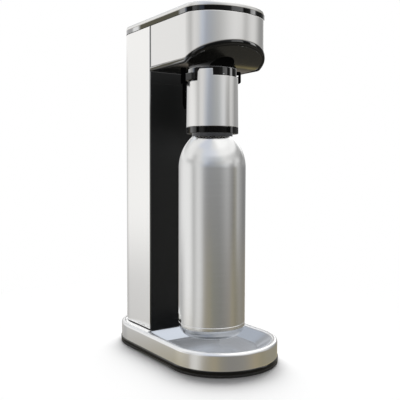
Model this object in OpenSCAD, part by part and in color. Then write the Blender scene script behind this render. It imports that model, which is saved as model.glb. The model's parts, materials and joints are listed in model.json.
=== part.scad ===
/* [Base] */
// Width of the base shell
base_w = 135.6; // [130:0.2:150]
// Length of the base shell, front to back
base_l = 249; // [240:1:270]
// Reach of the base's rounded front end ahead of its straight sides
base_front_bulge = 63.8; // [50:0.2:66]
// Reach of the base's rounded rear end behind its straight sides
base_rear_bulge = 67.8; // [50:0.2:75]
// Wall of the base shell
base_wall = 2.4; // [1.8:0.1:3]
// Height of the rubber feet
foot_h = 2.8; // [2:0.1:6]
// Reach of the front foot back from the base's front
foot_front_l = 75; // [66:1:90]
// Reach of the rear foot ahead of the base's back
foot_rear_l = 100; // [70:1:110]
// Width of the rubber feet
foot_w = 9; // [6:0.5:14]
// Thickness of the base plate
plate_t = 4.5; // [4:0.1:6]
// How far the base plate stands out past the base shell
plate_proud = 0.9; // [0.4:0.1:2]
// Height of the rim's crest above the table
rim_z = 27.3; // [26:0.1:34]
// Radius of the rolled rim
rim_r = 3.2; // [2.4:0.1:3.6]
// Depth of the drip tray from its rim to its floor
tray_d = 10.2; // [7:0.1:11]
// Run of the tray's sloping wall, seen from above
tray_slope = 17; // [10:0.5:22]
// Run of the ramp at the back of the tray
ramp_run = 19.8; // [12:0.2:24]
// Sheet thickness of the tray
tray_t = 1.2; // [0.8:0.1:1.6]

/* [Tower] */
// Width of the tower and the head
tower_w = 108.8; // [104:0.2:114]
// Depth of the tower from the front panel to the back of the cover
tower_d = 95.9; // [94:0.1:100]
// Reach of the tower's rounded back behind its straight sides
tower_bulge = 38; // [30:0.5:46]
// Wall of the silver cover and head band
skin = 2.2; // [1.6:0.1:2.6]
// Thickness of the front panel
panel_t = 3.2; // [2.4:0.1:4]
// Wall of the tower frame
frame_wall = 2.5; // [2:0.1:3.5]
// Width of the groove between the rear cover and the head band
groove = 1.6; // [1:0.1:2.4]

/* [Head] */
// Distance from the front of the base to the dock axis
dock_setback = 86.7; // [84:0.2:94]
// Distance from the dock axis back to the front panel
bay_d = 56.6; // [54:0.1:62]
// Reach of the head from the front panel to its front
head_reach = 116.5; // [112:0.5:120]
// Reach of the head's rounded front end
head_bulge = 38.1; // [36:0.1:42]
// Rise of the slanted underside from its crease to the head's front
front_rise = 20.7; // [14:0.1:24]
// Height of the dark band round the underside, along its sides
shroud_h = 5.8; // [4:0.1:8]
// Height of the dark band at the head's front
shroud_front_h = 4.6; // [3.6:0.1:8]
// How far the dark band stands out past the silver band
shroud_proud = 0.6; // [0.3:0.1:1]
// Height of the silver head band at its back
band_h = 50.4; // [50:0.2:60]
// Height of the dark band under the lid
top_band_h = 5.6; // [4.6:0.1:8]
// Thickness of the lid
lid_t = 4.9; // [4:0.1:7]
// Edge radius of the lid
lid_r = 2.8; // [1:0.1:3.4]

/* [Button] */
// Radius of the press button
button_r = 17; // [13:0.5:20]
// Travel of the press button
button_travel = 6; // [4:0.5:6.5]
// Radius of the button's stem
stem_r = 5; // [4:0.2:6]
// Radius of the spring wire
wire_r = 0.6; // [0.4:0.1:0.8]

/* [Press lever] */
// Gap between the valve block and the lever's pivot ears
pivot_gap = 3; // [1:0.5:6]
// Thickness of the press lever
lever_t = 6; // [5:0.5:6.5]
// Width of the press lever
lever_w = 14; // [10:1:18]
// Radius of the lever's pivot pin
pivot_r = 2; // [1.5:0.1:2.5]

/* [Gas line] */
// Distance from the front panel back to the cylinder axis
cyl_back = 43.4; // [42:0.2:46]
// Radius of the gas cylinder
cyl_r = 30; // [26:0.5:31]
// Height of the cylinder's foot above the base plate
cyl_lift = 12.2; // [11:0.1:16]
// Height of the cylinder's shoulder
cyl_shoulder = 26; // [20:1:32]
// Radius of the cylinder valve's thread
valve_r = 10.4; // [8:0.1:12]
// Length of the cylinder valve's thread
valve_l = 13; // [10:0.5:14]
// Width of the valve block
block_w = 34; // [30:1:40]
// Height of the valve block
block_h = 22; // [20:0.5:23]
// Radius of the valve pin
pin_r = 2; // [1.5:0.1:2.4]
// Radius of the gas tube
tube_r = 2.5; // [2:0.1:3]

/* [Infuser] */
// Radius of the infuser sleeve at its foot
sleeve_r = 31.6; // [30.6:0.1:33]
// Radius of the infuser sleeve at its top
sleeve_top_r = 30.8; // [30.4:0.1:31]
// Thickness of the infuser sleeve
sleeve_t = 1; // [0.8:0.1:1.2]
// Drop from the head's underside to the foot of the infuser collar
infuser_drop = 78; // [76:0.5:84]
// Height of the infuser collar
collar_h = 8.1; // [6:0.1:10]
// Drop from the underside to the sleeve's raised tabs
tab_drop = 3.1; // [2.6:0.1:5]
// Drop from the underside to the sleeve's front edge
front_drop = 10.9; // [9:0.1:13]
// Drop from the underside to the sleeve's side edges
side_drop = 16.6; // [15:0.1:18]
// Reach of the dock lugs past the sleeve's top
lug_reach = 4; // [3:0.5:5]
// Height of the dock lugs
lug_h = 8.6; // [7:0.2:10]
// Thickness of the dock rails
rail_t = 3; // [2.4:0.1:4]
// Reach of the dock rails under the lugs
rail_lip = 2; // [1.5:0.1:2.2]
// Length of the dip tube below the infuser
dip_l = 120; // [90:5:150]

/* [Release levers] */
// Thickness of the release levers
rel_t = 3.2; // [2.6:0.1:3.6]
// Gap between the long release lever and the sleeve
vent_gap = 1.2; // [0.6:0.1:2]
// Gap between the short release lever and the sleeve's top
hook_gap = 0.4; // [0.3:0.1:1]
// Width of the long release lever
vent_w = 13; // [10:0.5:15]
// Length of the long release lever below the sleeve's edge
vent_l = 31.2; // [24:0.2:36]
// Width of the short release lever
hook_w = 10; // [8:0.5:12]
// Length of the short release lever below its pivot
hook_l = 10.8; // [8:0.2:14]
// Radius of the release lever pins
rel_pin_r = 1.25; // [1:0.05:1.5]

/* [Bottle] */
// Radius of the bottle
bottle_r = 41; // [38:0.2:43]
// Height of the bottle from its foot to its neck
bottle_h = 243.2; // [200:0.2:280]
// Gap between the base's rim and the bottle's foot
bottle_lift = 0.3; // [0.3:0.1:4]
// Wall of the bottle
bottle_wall = 1.2; // [0.8:0.1:2]
// Radius of the bottle's neck
neck_r = 24.8; // [22:0.2:26]
// Height of the neck that shows between body and infuser
neck_h = 3.5; // [3:0.5:8]
// Radius of the curve from body to neck
shoulder_r = 52; // [46:1:60]
// Radius of the curve at the bottle's foot
heel_r = 14; // [8:0.5:16]
// Height of the seam above the bottle's foot
seam_h = 16.8; // [16.4:0.2:22]
// Length of the bottle's mouth inside the infuser
mouth_l = 21.7; // [16:0.1:23]

/* [Clearances] */
// Gap between loose pieces
gap = 0.3; // [0.25:0.05:0.35]
// Gap between pieces that are fastened together
slit = 0.1; // [0.05:0.05:0.2]
// Radial clearance of pins in their bores
run = 0.05; // [0.03:0.01:0.08]

/* [Hidden] */
$fn = 96;
eps = 0.01;
cut = 1;
arc_n = 40;

// Places along the machine, front to back
base_front_y = -base_l / 2;
base_mid_front = base_front_y + base_front_bulge;
base_mid_rear = base_l / 2 - base_rear_bulge;
dock_y = base_front_y + dock_setback;
panel_y = dock_y + bay_d;
panel_back = panel_y + panel_t;
cover_y = panel_y + groove;
tower_mid_rear = panel_y + tower_d - tower_bulge;
crease_y = panel_y - head_reach + head_bulge;
cyl_y = panel_y + cyl_back;
ear_half = 6;
ear_t = 4;
pivot_y = cyl_y + block_w / 2 + pivot_gap + ear_half;

// Heights
plate_z = foot_h;
shell_z = plate_z + plate_t;
deck_drop = 1.7;
deck_z = rim_z - deck_drop;
tray_drop = 1.1;
tray_z = rim_z - tray_drop;
tray_floor_z = tray_z - tray_d;
well_z = tray_floor_z - tray_t - gap;
cover_z = rim_z + gap;
bottle_z = rim_z + bottle_lift;
collar_z = bottle_z + bottle_h + neck_h;
sleeve_z = collar_z + collar_h;
head_z = collar_z + infuser_drop;
infuser_top = head_z - 0.5;
band_z = head_z + shroud_h;
top_band_z = band_z + band_h;
lid_z = top_band_z + top_band_h;
top_z = lid_z + lid_t;

// Inside the base
rim_in = 2 * rim_r;
tray_fit = 0.5;
tray_in = rim_in + tray_fit;
base_screw_l = 4;
base_screw_r = 2;
base_head_r = 4.2;
base_head_h = 1.8;
base_screw_x = base_w / 2 - 5 * base_wall;
base_screw_front_y = base_mid_front + 1.5 * base_head_r;
base_screw_rear_y = base_mid_rear + 1.5 * base_head_r;

// Inside the tower
half_w = tower_w / 2;
frame_x = half_w - skin - gap;
panel_inset = 0.8;
guide_rise = 70;
guide_plate_t = 4;
cyl_play = 0.5;
cyl_hole_r = cyl_r + 2.5;

// Inside the head
floor_t = 2.6;
frame_t = 3;
frame_rise = 9.7;
frame_z = head_z + frame_rise;
frame_top = frame_z + frame_t;
frame_half = 40;
frame_front = 30;
post_x = 32;
post_r = 4;
lid_screw_r = 1.5;
lid_screw_l = 13.5;
band_rib = 3;
guide_t = 1.5;
guide_wall = 2;
button_play = 0.4;
cap_t = 6;
cap_clear = 0.6;
guide_z = top_z - cap_t - button_travel - cap_clear - guide_t;
tip_h = 1.5;
stem_drop = 11.5;
stem_z = lid_z - stem_drop;
lever_top = stem_z - gap;
lever_z = lever_top - lever_t;
lever_end = 8;

// Gas line
block_gap = 1;
block_z = frame_top + block_gap;
valve_top = block_z + valve_l;
seal_t = 1.5;
port_z = block_z + block_h / 2;
port_l = 6;
safety_r = 3;
safety_nut_r = 5;
safety_l = 14;
cyl_z = shell_z + cyl_lift;
neck_drop = 8;
cyl_neck_z = frame_z - neck_drop;
cyl_neck_r = 13;
cyl_foot_r = 6;
cyl_dish = 4;

// Dock
dock_r = 21;
socket_r = 9;
socket_h = 4;
nozzle_r = 4.4;
nose_r = 20;
nose_x = -4;
nose_y = dock_y - 18.4;
nose_round = 8;
nozzle_flange_r = 9;
nozzle_flange_t = 3;
lug_rise = 1.2;
lug_z = head_z - side_drop + lug_rise;
lug_x = sleeve_top_r + lug_reach;
lug_front = 7;
lug_back = 12;
rail_front = 5.5;

// Infuser
body_top_r = sleeve_top_r - sleeve_t - gap;
body_r = sleeve_r - sleeve_t - gap;
mouth_z = collar_z + mouth_l;
mouth_step = 1.2;
mouth_r = neck_r - mouth_step;
mouth_wall = 2.2;
bottle_seal_t = 2;
dip_r = 4.4;
dip_bore = 2.4;
dip_fit = 20;
vent_a = -128;
hook_a = 52;
vent_pin_rise = 5;
vent_pin_z = head_z - side_drop + vent_pin_rise;
hook_pin_drop = 6.2;
hook_pin_z = head_z - hook_pin_drop;
rel_pin_in = 2.2;
rel_pin_grip = 2;
eye_r = 2.6;
eye_wall = 0.6;
notch_depth = 6.5;

// ---------- outlines ----------

// Oval of straight sides and two elliptical ends, drawn inside the outline by t
module oval(hw, y0, y1, front, rear, t = 0) {
    polygon(concat(
        [for (i = [0 : arc_n]) let (a = 180 * i / arc_n)
            [-(hw - t) * cos(a), y0 - (front - t) * sin(a)]],
        [for (i = [0 : arc_n]) let (a = 180 * i / arc_n)
            [(hw - t) * cos(a), y1 + (rear - t) * sin(a)]]));
}

module base_oval(t = 0) {
    oval(base_w / 2, base_mid_front, base_mid_rear, base_front_bulge, base_rear_bulge, t);
}

module head_oval(t = 0) {
    oval(half_w, crease_y, tower_mid_rear, head_bulge, tower_bulge, t);
}

// Rounded front with a straight back edge
module front_oval(hw, bulge, y_back) {
    polygon(concat(
        [for (i = [0 : arc_n]) let (a = 180 * i / arc_n)
            [-hw * cos(a), base_mid_front - bulge * sin(a)]],
        [[hw, y_back], [-hw, y_back]]));
}

// Everything on one side of a line across the machine
module behind(y) translate([-base_w, y]) square([2 * base_w, 2 * base_l]);
module ahead(y) translate([-base_w, y - 2 * base_l]) square([2 * base_w, 2 * base_l]);

module at(z) translate([0, 0, z]) children();
module at_dock(z = 0) translate([0, dock_y, z]) children();
module at_cyl(z = 0) translate([0, cyl_y, z]) children();

module tube(r_out, r_in, h) {
    difference() {
        cylinder(r = r_out, h = h);
        translate([0, 0, -cut]) cylinder(r = r_in, h = h + 2 * cut);
    }
}

// Space below a plane that is level behind the crease and climbs by rise to the head's front
module below_slant(z, rise) {
    far = 2 * head_bulge;
    rotate([90, 0, 90]) translate([0, 0, -base_w]) linear_extrude(2 * base_w)
        polygon([[base_l, z], [crease_y, z], [crease_y - far, z + 2 * rise],
            [crease_y - far, 0], [base_l, 0]]);
}

module below_underside(dz = 0) below_slant(head_z + dz, front_rise);
module below_band() below_slant(band_z, front_rise + shroud_front_h - shroud_h);

// Turns a part drawn at the front of the infuser round the dock axis
module round_dock(a) at_dock() rotate([0, 0, a]) children();

// Coil of a spring as stacked rings
module rings(r, wire, h, n) {
    for (i = [0 : n - 1]) translate([0, 0, wire + i * (h - 2 * wire) / (n - 1)])
        rotate_extrude($fn = 48) translate([r, 0]) circle(r = wire, $fn = 16);
}

// ---------- base ----------

module base_shell() {
    color("silver") difference() {
        hull() {
            at(shell_z) linear_extrude(rim_z - rim_r - shell_z) base_oval();
            for (a = [30, 60, 89]) at(rim_z - rim_r) linear_extrude(rim_r * sin(a))
                base_oval(rim_r * (1 - cos(a)));
        }
        hull() {
            at(rim_z) linear_extrude(rim_r) base_oval(rim_r);
            at(rim_z - rim_r * 0.3) linear_extrude(rim_r) base_oval(rim_r * 1.7);
            at(deck_z) linear_extrude(rim_r) base_oval(rim_in);
        }
        at(well_z) linear_extrude(rim_z) intersection() {
            base_oval(rim_in);
            ahead(panel_y);
        }
        at(shell_z - cut) linear_extrude(well_z - base_wall - shell_z + cut) base_oval(base_wall);
        at(shell_z - cut) linear_extrude(deck_z - base_wall - shell_z + cut) intersection() {
            base_oval(base_wall);
            behind(panel_y + base_wall);
        }
        at_cyl() cylinder(r = cyl_hole_r, h = 2 * rim_z);
    }
    color("silver") base_boss(base_screw_front_y, well_z - base_wall / 2);
    color("silver") base_boss(base_screw_rear_y, deck_z - base_wall / 2);
}

// Pair of screw bosses that hang from the well's floor or from the deck
module base_boss(y, top) {
    for (x = [-1, 1]) translate([x * base_screw_x, y, 0]) difference() {
        at(shell_z) cylinder(r = base_head_r, h = top - shell_z);
        at(shell_z - cut) cylinder(r = base_screw_r, h = base_screw_l + 2 * cut);
    }
}

module base_plate() {
    color("#1a1a1a") difference() {
        at(plate_z) linear_extrude(plate_t) base_oval(-plate_proud);
        base_screw_places() at(plate_z - cut) cylinder(r = base_screw_r, h = plate_t + 2 * cut);
        base_screw_places() at(plate_z - cut) cylinder(r = base_head_r, h = base_head_h + cut);
    }
}

module base_screw_places() {
    for (x = [-1, 1], y = [base_screw_front_y, base_screw_rear_y])
        translate([x * base_screw_x, y, 0]) children();
}

module base_screws() {
    color("gray") base_screw_places() {
        at(plate_z + slit) cylinder(r = base_head_r - gap, h = base_head_h - slit, $fn = 32);
        at(plate_z + slit) cylinder(r = base_screw_r - run, h = plate_t + base_screw_l, $fn = 32);
    }
}

module foot_arc() {
    difference() {
        base_oval(-plate_proud + 2 * slit);
        base_oval(foot_w);
    }
}

// Arc-shaped rubber pads under the two round ends
module rubber_feet() {
    color("#222222") linear_extrude(foot_h) {
        intersection() {
            foot_arc();
            ahead(base_front_y + foot_front_l);
        }
        intersection() {
            foot_arc();
            behind(base_l / 2 - foot_rear_l);
        }
    }
}

module tray_form(z, inset, back, thick = eps) {
    at(z) linear_extrude(thick)
        front_oval(base_w / 2 - inset, base_front_bulge - inset, panel_y - back);
}

module drip_tray() {
    color("lightsteelblue") difference() {
        hull() {
            tray_form(tray_z - tray_drop, tray_in, tray_fit, tray_drop);
            tray_form(tray_floor_z - tray_t, tray_in + tray_slope, ramp_run);
        }
        hull() {
            tray_form(tray_z, tray_in + tray_t, tray_fit + tray_t, cut);
            tray_form(tray_floor_z, tray_in + tray_t + tray_slope, ramp_run + tray_t);
        }
    }
}

// ---------- tower ----------

module rear_cover() {
    color("silver") at(cover_z) linear_extrude(top_band_z - gap - cover_z) intersection() {
        difference() {
            head_oval();
            head_oval(skin);
        }
        behind(cover_y);
    }
}

module front_panel() {
    color("#1c1d1d") translate([-half_w + panel_inset, panel_y, deck_z])
        cube([tower_w - 2 * panel_inset, groove - gap, head_z - deck_z]);
    color("#1c1d1d") translate([-half_w + skin + gap, panel_y + groove - gap - eps, deck_z])
        cube([tower_w - 2 * skin - 2 * gap, panel_t - groove + gap + eps, head_z - deck_z]);
}

module tower_frame() {
    color("#303030") difference() {
        translate([-frame_x, panel_back, deck_z])
            cube([2 * frame_x, tower_mid_rear - panel_back, frame_z - deck_z]);
        translate([-frame_x + frame_wall, panel_back + frame_wall, deck_z + frame_wall])
            cube([2 * (frame_x - frame_wall), tower_d, frame_z - deck_z]);
        at_cyl() cylinder(r = cyl_hole_r, h = head_z);
    }
}

module cylinder_guides() {
    hole_r = cyl_r + cyl_play;
    hole_h = guide_plate_t + 2 * cut;
    color("#303030") for (z = [deck_z + guide_rise, head_z - guide_rise]) difference() {
        translate([-frame_x + frame_wall, panel_back + frame_wall, z])
            cube([2 * (frame_x - frame_wall), tower_mid_rear - panel_back - frame_wall, guide_plate_t]);
        at_cyl(z - cut) cylinder(r = hole_r, h = hole_h);
        translate([-hole_r, cyl_y, z - cut]) cube([2 * hole_r, tower_d, hole_h]);
    }
}

// ---------- head ----------

module head_frame() {
    ear = lever_w / 2 + gap;
    color("#303030") difference() {
        union() {
            at(frame_z) linear_extrude(frame_t) intersection() {
                head_oval(skin + gap);
                translate([-frame_half, dock_y - frame_front])
                    square([2 * frame_half, frame_front + pivot_y + 1.5 * ear_half - dock_y]);
            }
            for (x = [-ear - ear_t, ear]) translate([x, pivot_y - ear_half, frame_top - eps])
                cube([ear_t, 2 * ear_half, lever_top - frame_top + lever_t / 3]);
            lid_screw_places() at(frame_top - eps)
                cylinder(r = post_r, h = lid_z - frame_top, $fn = 32);
        }
        at_dock(frame_z - cut) cylinder(r = nozzle_r + run, h = frame_t + 2 * cut);
        at_cyl(frame_z - cut) cylinder(r = cyl_neck_r + block_gap, h = frame_t + 2 * cut);
        translate([-half_w, pivot_y, lever_z + lever_t / 2]) rotate([0, 90, 0])
            cylinder(r = pivot_r + run / 2, h = tower_w);
        lid_screw_places() at(lid_z - lid_screw_l) cylinder(r = lid_screw_r, h = 2 * lid_screw_l, $fn = 32);
    }
}

module head_band() {
    color("silver") difference() {
        at(head_z) linear_extrude(top_band_z - gap - head_z) intersection() {
            difference() {
                head_oval();
                head_oval(skin);
            }
            ahead(panel_y);
        }
        below_band();
    }
}

module head_underside() {
    color("#141312") difference() {
        at(head_z - cut) linear_extrude(front_rise + shroud_h + floor_t) intersection() {
            head_oval(-shroud_proud);
            ahead(panel_y + groove - gap);
        }
        below_underside();
        difference() {
            at(head_z) linear_extrude(2 * band_h) head_oval(-2 * skin);
            translate([0, 0, -gap]) below_band();
        }
        difference() {
            at(head_z) linear_extrude(2 * band_h) head_oval(skin + gap);
            below_underside(floor_t);
        }
        at_dock(head_z - cut) cylinder(r = dock_r + run, h = 2 * band_h);
    }
}

module top_band() {
    color("#101010") at(top_band_z) linear_extrude(top_band_h) difference() {
        head_oval();
        head_oval(skin + band_rib);
    }
}

module lid_screw_places() {
    for (x = [-1, 1], y = [dock_y + post_r, cyl_y - 1.5 * post_r])
        translate([x * post_x, y, 0]) children();
}

module lid() {
    color("silver") difference() {
        hull() {
            at(lid_z) linear_extrude(lid_t - lid_r) head_oval();
            for (a = [22, 45, 68, 89]) at(top_z - lid_r) linear_extrude(lid_r * sin(a))
                head_oval(lid_r * (1 - cos(a)));
        }
        at_dock(lid_z - cut) cylinder(r = button_r + button_play, h = lid_t + 2 * cut);
        lid_screw_places() at(lid_z - cut) cylinder(r = lid_screw_r, h = 3 * cut, $fn = 32);
    }
}

module lid_screws() {
    color("gray") lid_screw_places() at(lid_z + lid_screw_r - lid_screw_l)
        cylinder(r = lid_screw_r - run, h = lid_screw_l, $fn = 32);
}

// ---------- button and lever ----------

module press_button() {
    color("#101010") at_dock() {
        at(top_z - cap_t) cylinder(r = button_r, h = cap_t);
        at(stem_z + tip_h) cylinder(r = stem_r, h = top_z - cap_t - stem_z - tip_h + eps);
        at(stem_z) cylinder(r = stem_r / 2, h = tip_h + eps);
    }
}

module button_guide() {
    color("#303030") at_dock() difference() {
        union() {
            at(guide_z) cylinder(r = button_r + button_play + guide_wall, h = lid_z - guide_z);
            at(lid_z - guide_wall) cylinder(r = button_r + 3 * guide_wall, h = guide_wall);
        }
        at(guide_z + guide_t) cylinder(r = button_r + button_play, h = 2 * cap_t);
        at(guide_z - cut) cylinder(r = stem_r + run, h = guide_t + 2 * cut);
    }
}

module button_spring() {
    rest_h = top_z - cap_t - guide_z - guide_t;
    color("gray") at_dock(guide_z + guide_t) rings((stem_r + button_r) / 2, wire_r, rest_h, 5);
}

module press_lever() {
    color("#8a8d90") difference() {
        union() {
            translate([-lever_w / 2, dock_y - lever_end, lever_z])
                cube([lever_w, pivot_y - dock_y + lever_end, lever_t]);
            translate([-lever_w / 2, pivot_y, lever_z + lever_t / 2]) rotate([0, 90, 0])
                cylinder(r = lever_t / 2, h = lever_w);
        }
        translate([-half_w, pivot_y, lever_z + lever_t / 2]) rotate([0, 90, 0])
            cylinder(r = pivot_r + run, h = tower_w);
    }
}

module lever_pivot_pin() {
    half = lever_w / 2 + gap + ear_t;
    color("gray") translate([-half, pivot_y, lever_z + lever_t / 2]) rotate([0, 90, 0])
        cylinder(r = pivot_r, h = 2 * half);
}

// ---------- gas line ----------

module valve_block() {
    color("#b08d57") difference() {
        union() {
            translate([-block_w / 2, cyl_y - block_w / 2, block_z]) cube([block_w, block_w, block_h]);
            at_cyl(frame_top) tube(block_w / 2, cyl_neck_r + block_gap, block_gap + eps);
        }
        at_cyl(block_z - cut) cylinder(r = valve_r + run, h = valve_l + seal_t + cut);
        at_cyl(block_z) cylinder(r = pin_r + run, h = block_h + cut);
        translate([0, cyl_y - block_w / 2 - cut, port_z]) rotate([-90, 0, 0])
            cylinder(r = tube_r + run, h = port_l + cut);
        translate([block_w / 2 - port_l, cyl_y, port_z]) rotate([0, 90, 0])
            cylinder(r = safety_r + run, h = port_l + cut);
    }
}

module valve_pin() {
    foot_z = valve_top - seal_t;
    color("#c9a35a") at_cyl(foot_z) cylinder(r = pin_r, h = lever_z - gap - foot_z);
}

module safety_valve() {
    color("#c9a35a") translate([block_w / 2 - port_l, cyl_y, port_z]) rotate([0, 90, 0]) {
        cylinder(r = safety_r, h = port_l + cut);
        at(port_l) cylinder(r = safety_nut_r, h = safety_l - port_l, $fn = 6);
    }
}

module cylinder_seal() {
    color("#202020") at_cyl(valve_top + gap) tube(valve_r - 2 * slit, pin_r + 2 * gap, seal_t - gap);
}

module gas_tube() {
    y_end = cyl_y - block_w / 2 + port_l - cut;
    foot_z = frame_top + nozzle_flange_t + cut + slit;
    color("#b0b3b6") {
        at_dock(foot_z) cylinder(r = tube_r, h = port_z - foot_z);
        at_dock(port_z) sphere(r = tube_r);
        translate([0, dock_y, port_z]) rotate([-90, 0, 0]) cylinder(r = tube_r, h = y_end - dock_y);
    }
}

// Domed aluminium cylinder, turned about its own axis
module gas_cylinder() {
    shoulder_z = cyl_neck_z - cyl_shoulder;
    neck_in = cyl_neck_r - 2;
    color("#9fb6c8") at_cyl() rotate_extrude() polygon(concat(
        [[0, cyl_z + cyl_dish], [cyl_r - 2 * cyl_foot_r, cyl_z + cyl_dish],
            [cyl_r - 1.5 * cyl_foot_r, cyl_z]],
        [for (i = [0 : 8]) let (a = -90 + 90 * i / 8)
            [cyl_r - cyl_foot_r + cyl_foot_r * cos(a), cyl_z + cyl_foot_r + cyl_foot_r * sin(a)]],
        [for (i = [0 : 14]) let (a = 90 * i / 14)
            [neck_in + (cyl_r - neck_in) * cos(a), shoulder_z + cyl_shoulder * sin(a)]],
        [[0, cyl_neck_z]]));
}

module cylinder_valve() {
    color("#c9a35a") difference() {
        union() {
            at_cyl(cyl_neck_z) cylinder(r = cyl_neck_r, h = block_z - cyl_neck_z - gap);
            at_cyl(block_z - gap - eps) cylinder(r = valve_r, h = valve_top - block_z + gap);
        }
        at_cyl(valve_top - valve_l / 2) cylinder(r = 1.5 * pin_r, h = valve_l);
    }
}

// ---------- dock ----------

module dock_collar() {
    color("#101010") at_dock() difference() {
        at(head_z + slit) cylinder(r = dock_r, h = frame_z - head_z - slit);
        at(head_z - cut) cylinder(r = socket_r, h = socket_h + cut);
        at(head_z) cylinder(r = nozzle_r + run, h = 2 * frame_rise);
    }
}

module dock_nozzle() {
    color("#c9a35a") at_dock() difference() {
        union() {
            at(head_z + socket_h / 2)
                cylinder(r = nozzle_r, h = frame_top - head_z - socket_h / 2 + eps);
            at(frame_top) cylinder(r = nozzle_flange_r, h = nozzle_flange_t);
            at(frame_top + nozzle_flange_t - eps) cylinder(r = tube_r + 2 * cut, h = nozzle_flange_t);
        }
        at(frame_top + nozzle_flange_t + cut) cylinder(r = tube_r + run, h = nozzle_flange_t);
        at(head_z) cylinder(r = tube_r / 2, h = 2 * frame_rise);
    }
}

module dock_seal() {
    color("#202020") at_dock(infuser_top + gap)
        tube(socket_r - slit, nozzle_r + slit, head_z + socket_h - infuser_top - gap);
}

// Rounded lip that hangs from the slanted underside ahead of the dock
module dock_nose() {
    color("#101010") intersection() {
        translate([nose_x, nose_y, head_z]) rotate_extrude() polygon(concat(
            [[0, front_rise], [0, 0]],
            [for (i = [0 : 8]) let (a = -90 + 90 * i / 8)
                [nose_r - nose_round + nose_round * cos(a), nose_round + nose_round * sin(a)]],
            [[nose_r, front_rise]]));
        below_underside();
        at(head_z) linear_extrude(front_rise) ahead(crease_y);
    }
}

// Two angle rails that carry the infuser's lugs
module dock_rails() {
    web_x = lug_x + gap;
    shelf_z = lug_z - gap - rail_t;
    color("#101010") for (s = [0, 1]) mirror([s, 0, 0]) {
        translate([web_x, dock_y + rail_front, shelf_z])
            cube([rail_t, lug_back - rail_front, head_z - shelf_z]);
        translate([lug_x - rail_lip, dock_y + rail_front, shelf_z])
            cube([rail_lip + gap + eps, lug_back - rail_front, rail_t]);
    }
}

// ---------- infuser ----------

module lever_notch(a, w, z) {
    far = 2 * body_r;
    round_dock(a) translate([-w / 2 - gap, -far, z])
        cube([w + 2 * gap, far - body_top_r + notch_depth, infuser_drop]);
}

// Pin that holds a release lever of width w, reaching grip past it at both ends
module lever_pin(a, w, z, r = rel_pin_r, grip = rel_pin_grip) {
    round_dock(a) translate([-w / 2 - grip, -body_top_r + rel_pin_in, z]) rotate([0, 90, 0])
        cylinder(r = r, h = w + 2 * grip, $fn = 48);
}

module lever_pin_bore(a, w, z) lever_pin(a, w, z, rel_pin_r + run / 2, rel_pin_grip + slit);

module infuser_body() {
    lug_in = body_top_r - 5;
    color("#151515") difference() {
        union() {
            at_dock(sleeve_z) cylinder(r1 = body_r, r2 = body_top_r, h = infuser_top - sleeve_z);
            for (s = [0, 1]) mirror([s, 0, 0]) translate([lug_in, dock_y - lug_front, lug_z])
                cube([lug_x - lug_in, lug_front + lug_back, lug_h]);
        }
        at_dock(collar_z) cylinder(r = mouth_r + 2 * gap, h = mouth_z + bottle_seal_t - collar_z);
        at_dock(collar_z) cylinder(r = dip_r + slit, h = 2 * infuser_drop);
        lever_notch(vent_a, vent_w, vent_pin_z - eye_r - eye_wall);
        lever_notch(hook_a, hook_w, hook_pin_z - eye_r - eye_wall);
        lever_pin_bore(vent_a, vent_w, vent_pin_z);
        lever_pin_bore(hook_a, hook_w, hook_pin_z);
    }
}

// Sector of the sleeve that is cut down to height z, from angle a0 to a1 off the front
module sleeve_cut(a0, a1, z) {
    far = 2 * sleeve_r;
    at_dock(z) linear_extrude(infuser_drop) polygon(concat([[0, 0]],
        [for (i = [0 : 8]) let (a = a0 + (a1 - a0) * i / 8) [far * sin(a), -far * cos(a)]]));
}

module infuser_sleeve() {
    top = head_z - tab_drop;
    color("silver") difference() {
        at_dock(sleeve_z) cylinder(r1 = sleeve_r, r2 = sleeve_top_r, h = top - sleeve_z);
        at_dock(sleeve_z - eps) cylinder(r1 = sleeve_r - sleeve_t, r2 = sleeve_top_r - sleeve_t,
            h = top - sleeve_z + 2 * eps);
        sleeve_cut(-34, 70, head_z - front_drop);
        sleeve_cut(70, 146, head_z - side_drop);
        sleeve_cut(-146, -70, head_z - side_drop);
    }
}

module infuser_collar() {
    color("#101010") at_dock(collar_z) tube(sleeve_r + slit, neck_r + 5 * slit, collar_h - slit);
}

module bottle_seal() {
    color("#c8c8c8") at_dock(mouth_z + gap) tube(mouth_r, 2 * dip_r, bottle_seal_t - gap);
}

module dip_tube() {
    color("#d8d8d8") at_dock(mouth_z + bottle_seal_t - dip_l) tube(dip_r, dip_bore, dip_l + dip_fit);
}

// Lever drawn at the front: pivot eye, arm over the sleeve's edge and a flat finger tab
module rel_lever(w, y_in, pin_z, foot_z) {
    y_pin = -body_top_r + rel_pin_in;
    y_out = y_in - rel_t;
    arm_t = eye_r + eye_wall;
    translate([-w / 2, 0, 0]) difference() {
        union() {
            translate([0, y_pin, pin_z]) rotate([0, 90, 0]) cylinder(r = eye_r, h = w);
            translate([0, y_out, pin_z + eye_r - arm_t]) cube([w, y_pin - y_out, arm_t]);
            translate([0, y_out, foot_z]) cube([w, rel_t, pin_z + eye_r - foot_z]);
        }
        translate([-cut, y_pin, pin_z]) rotate([0, 90, 0])
            cylinder(r = rel_pin_r + run, h = w + 2 * cut);
    }
}

module vent_lever() {
    color("#151515") round_dock(vent_a)
        rel_lever(vent_w, -sleeve_r - vent_gap, vent_pin_z, head_z - side_drop - vent_l);
}

module vent_lever_pin() color("gray") lever_pin(vent_a, vent_w, vent_pin_z);

module hook_lever() {
    color("#151515") round_dock(hook_a)
        rel_lever(hook_w, -sleeve_top_r - hook_gap, hook_pin_z, hook_pin_z - hook_l);
}

module hook_lever_pin() color("gray") lever_pin(hook_a, hook_w, hook_pin_z);

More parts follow.
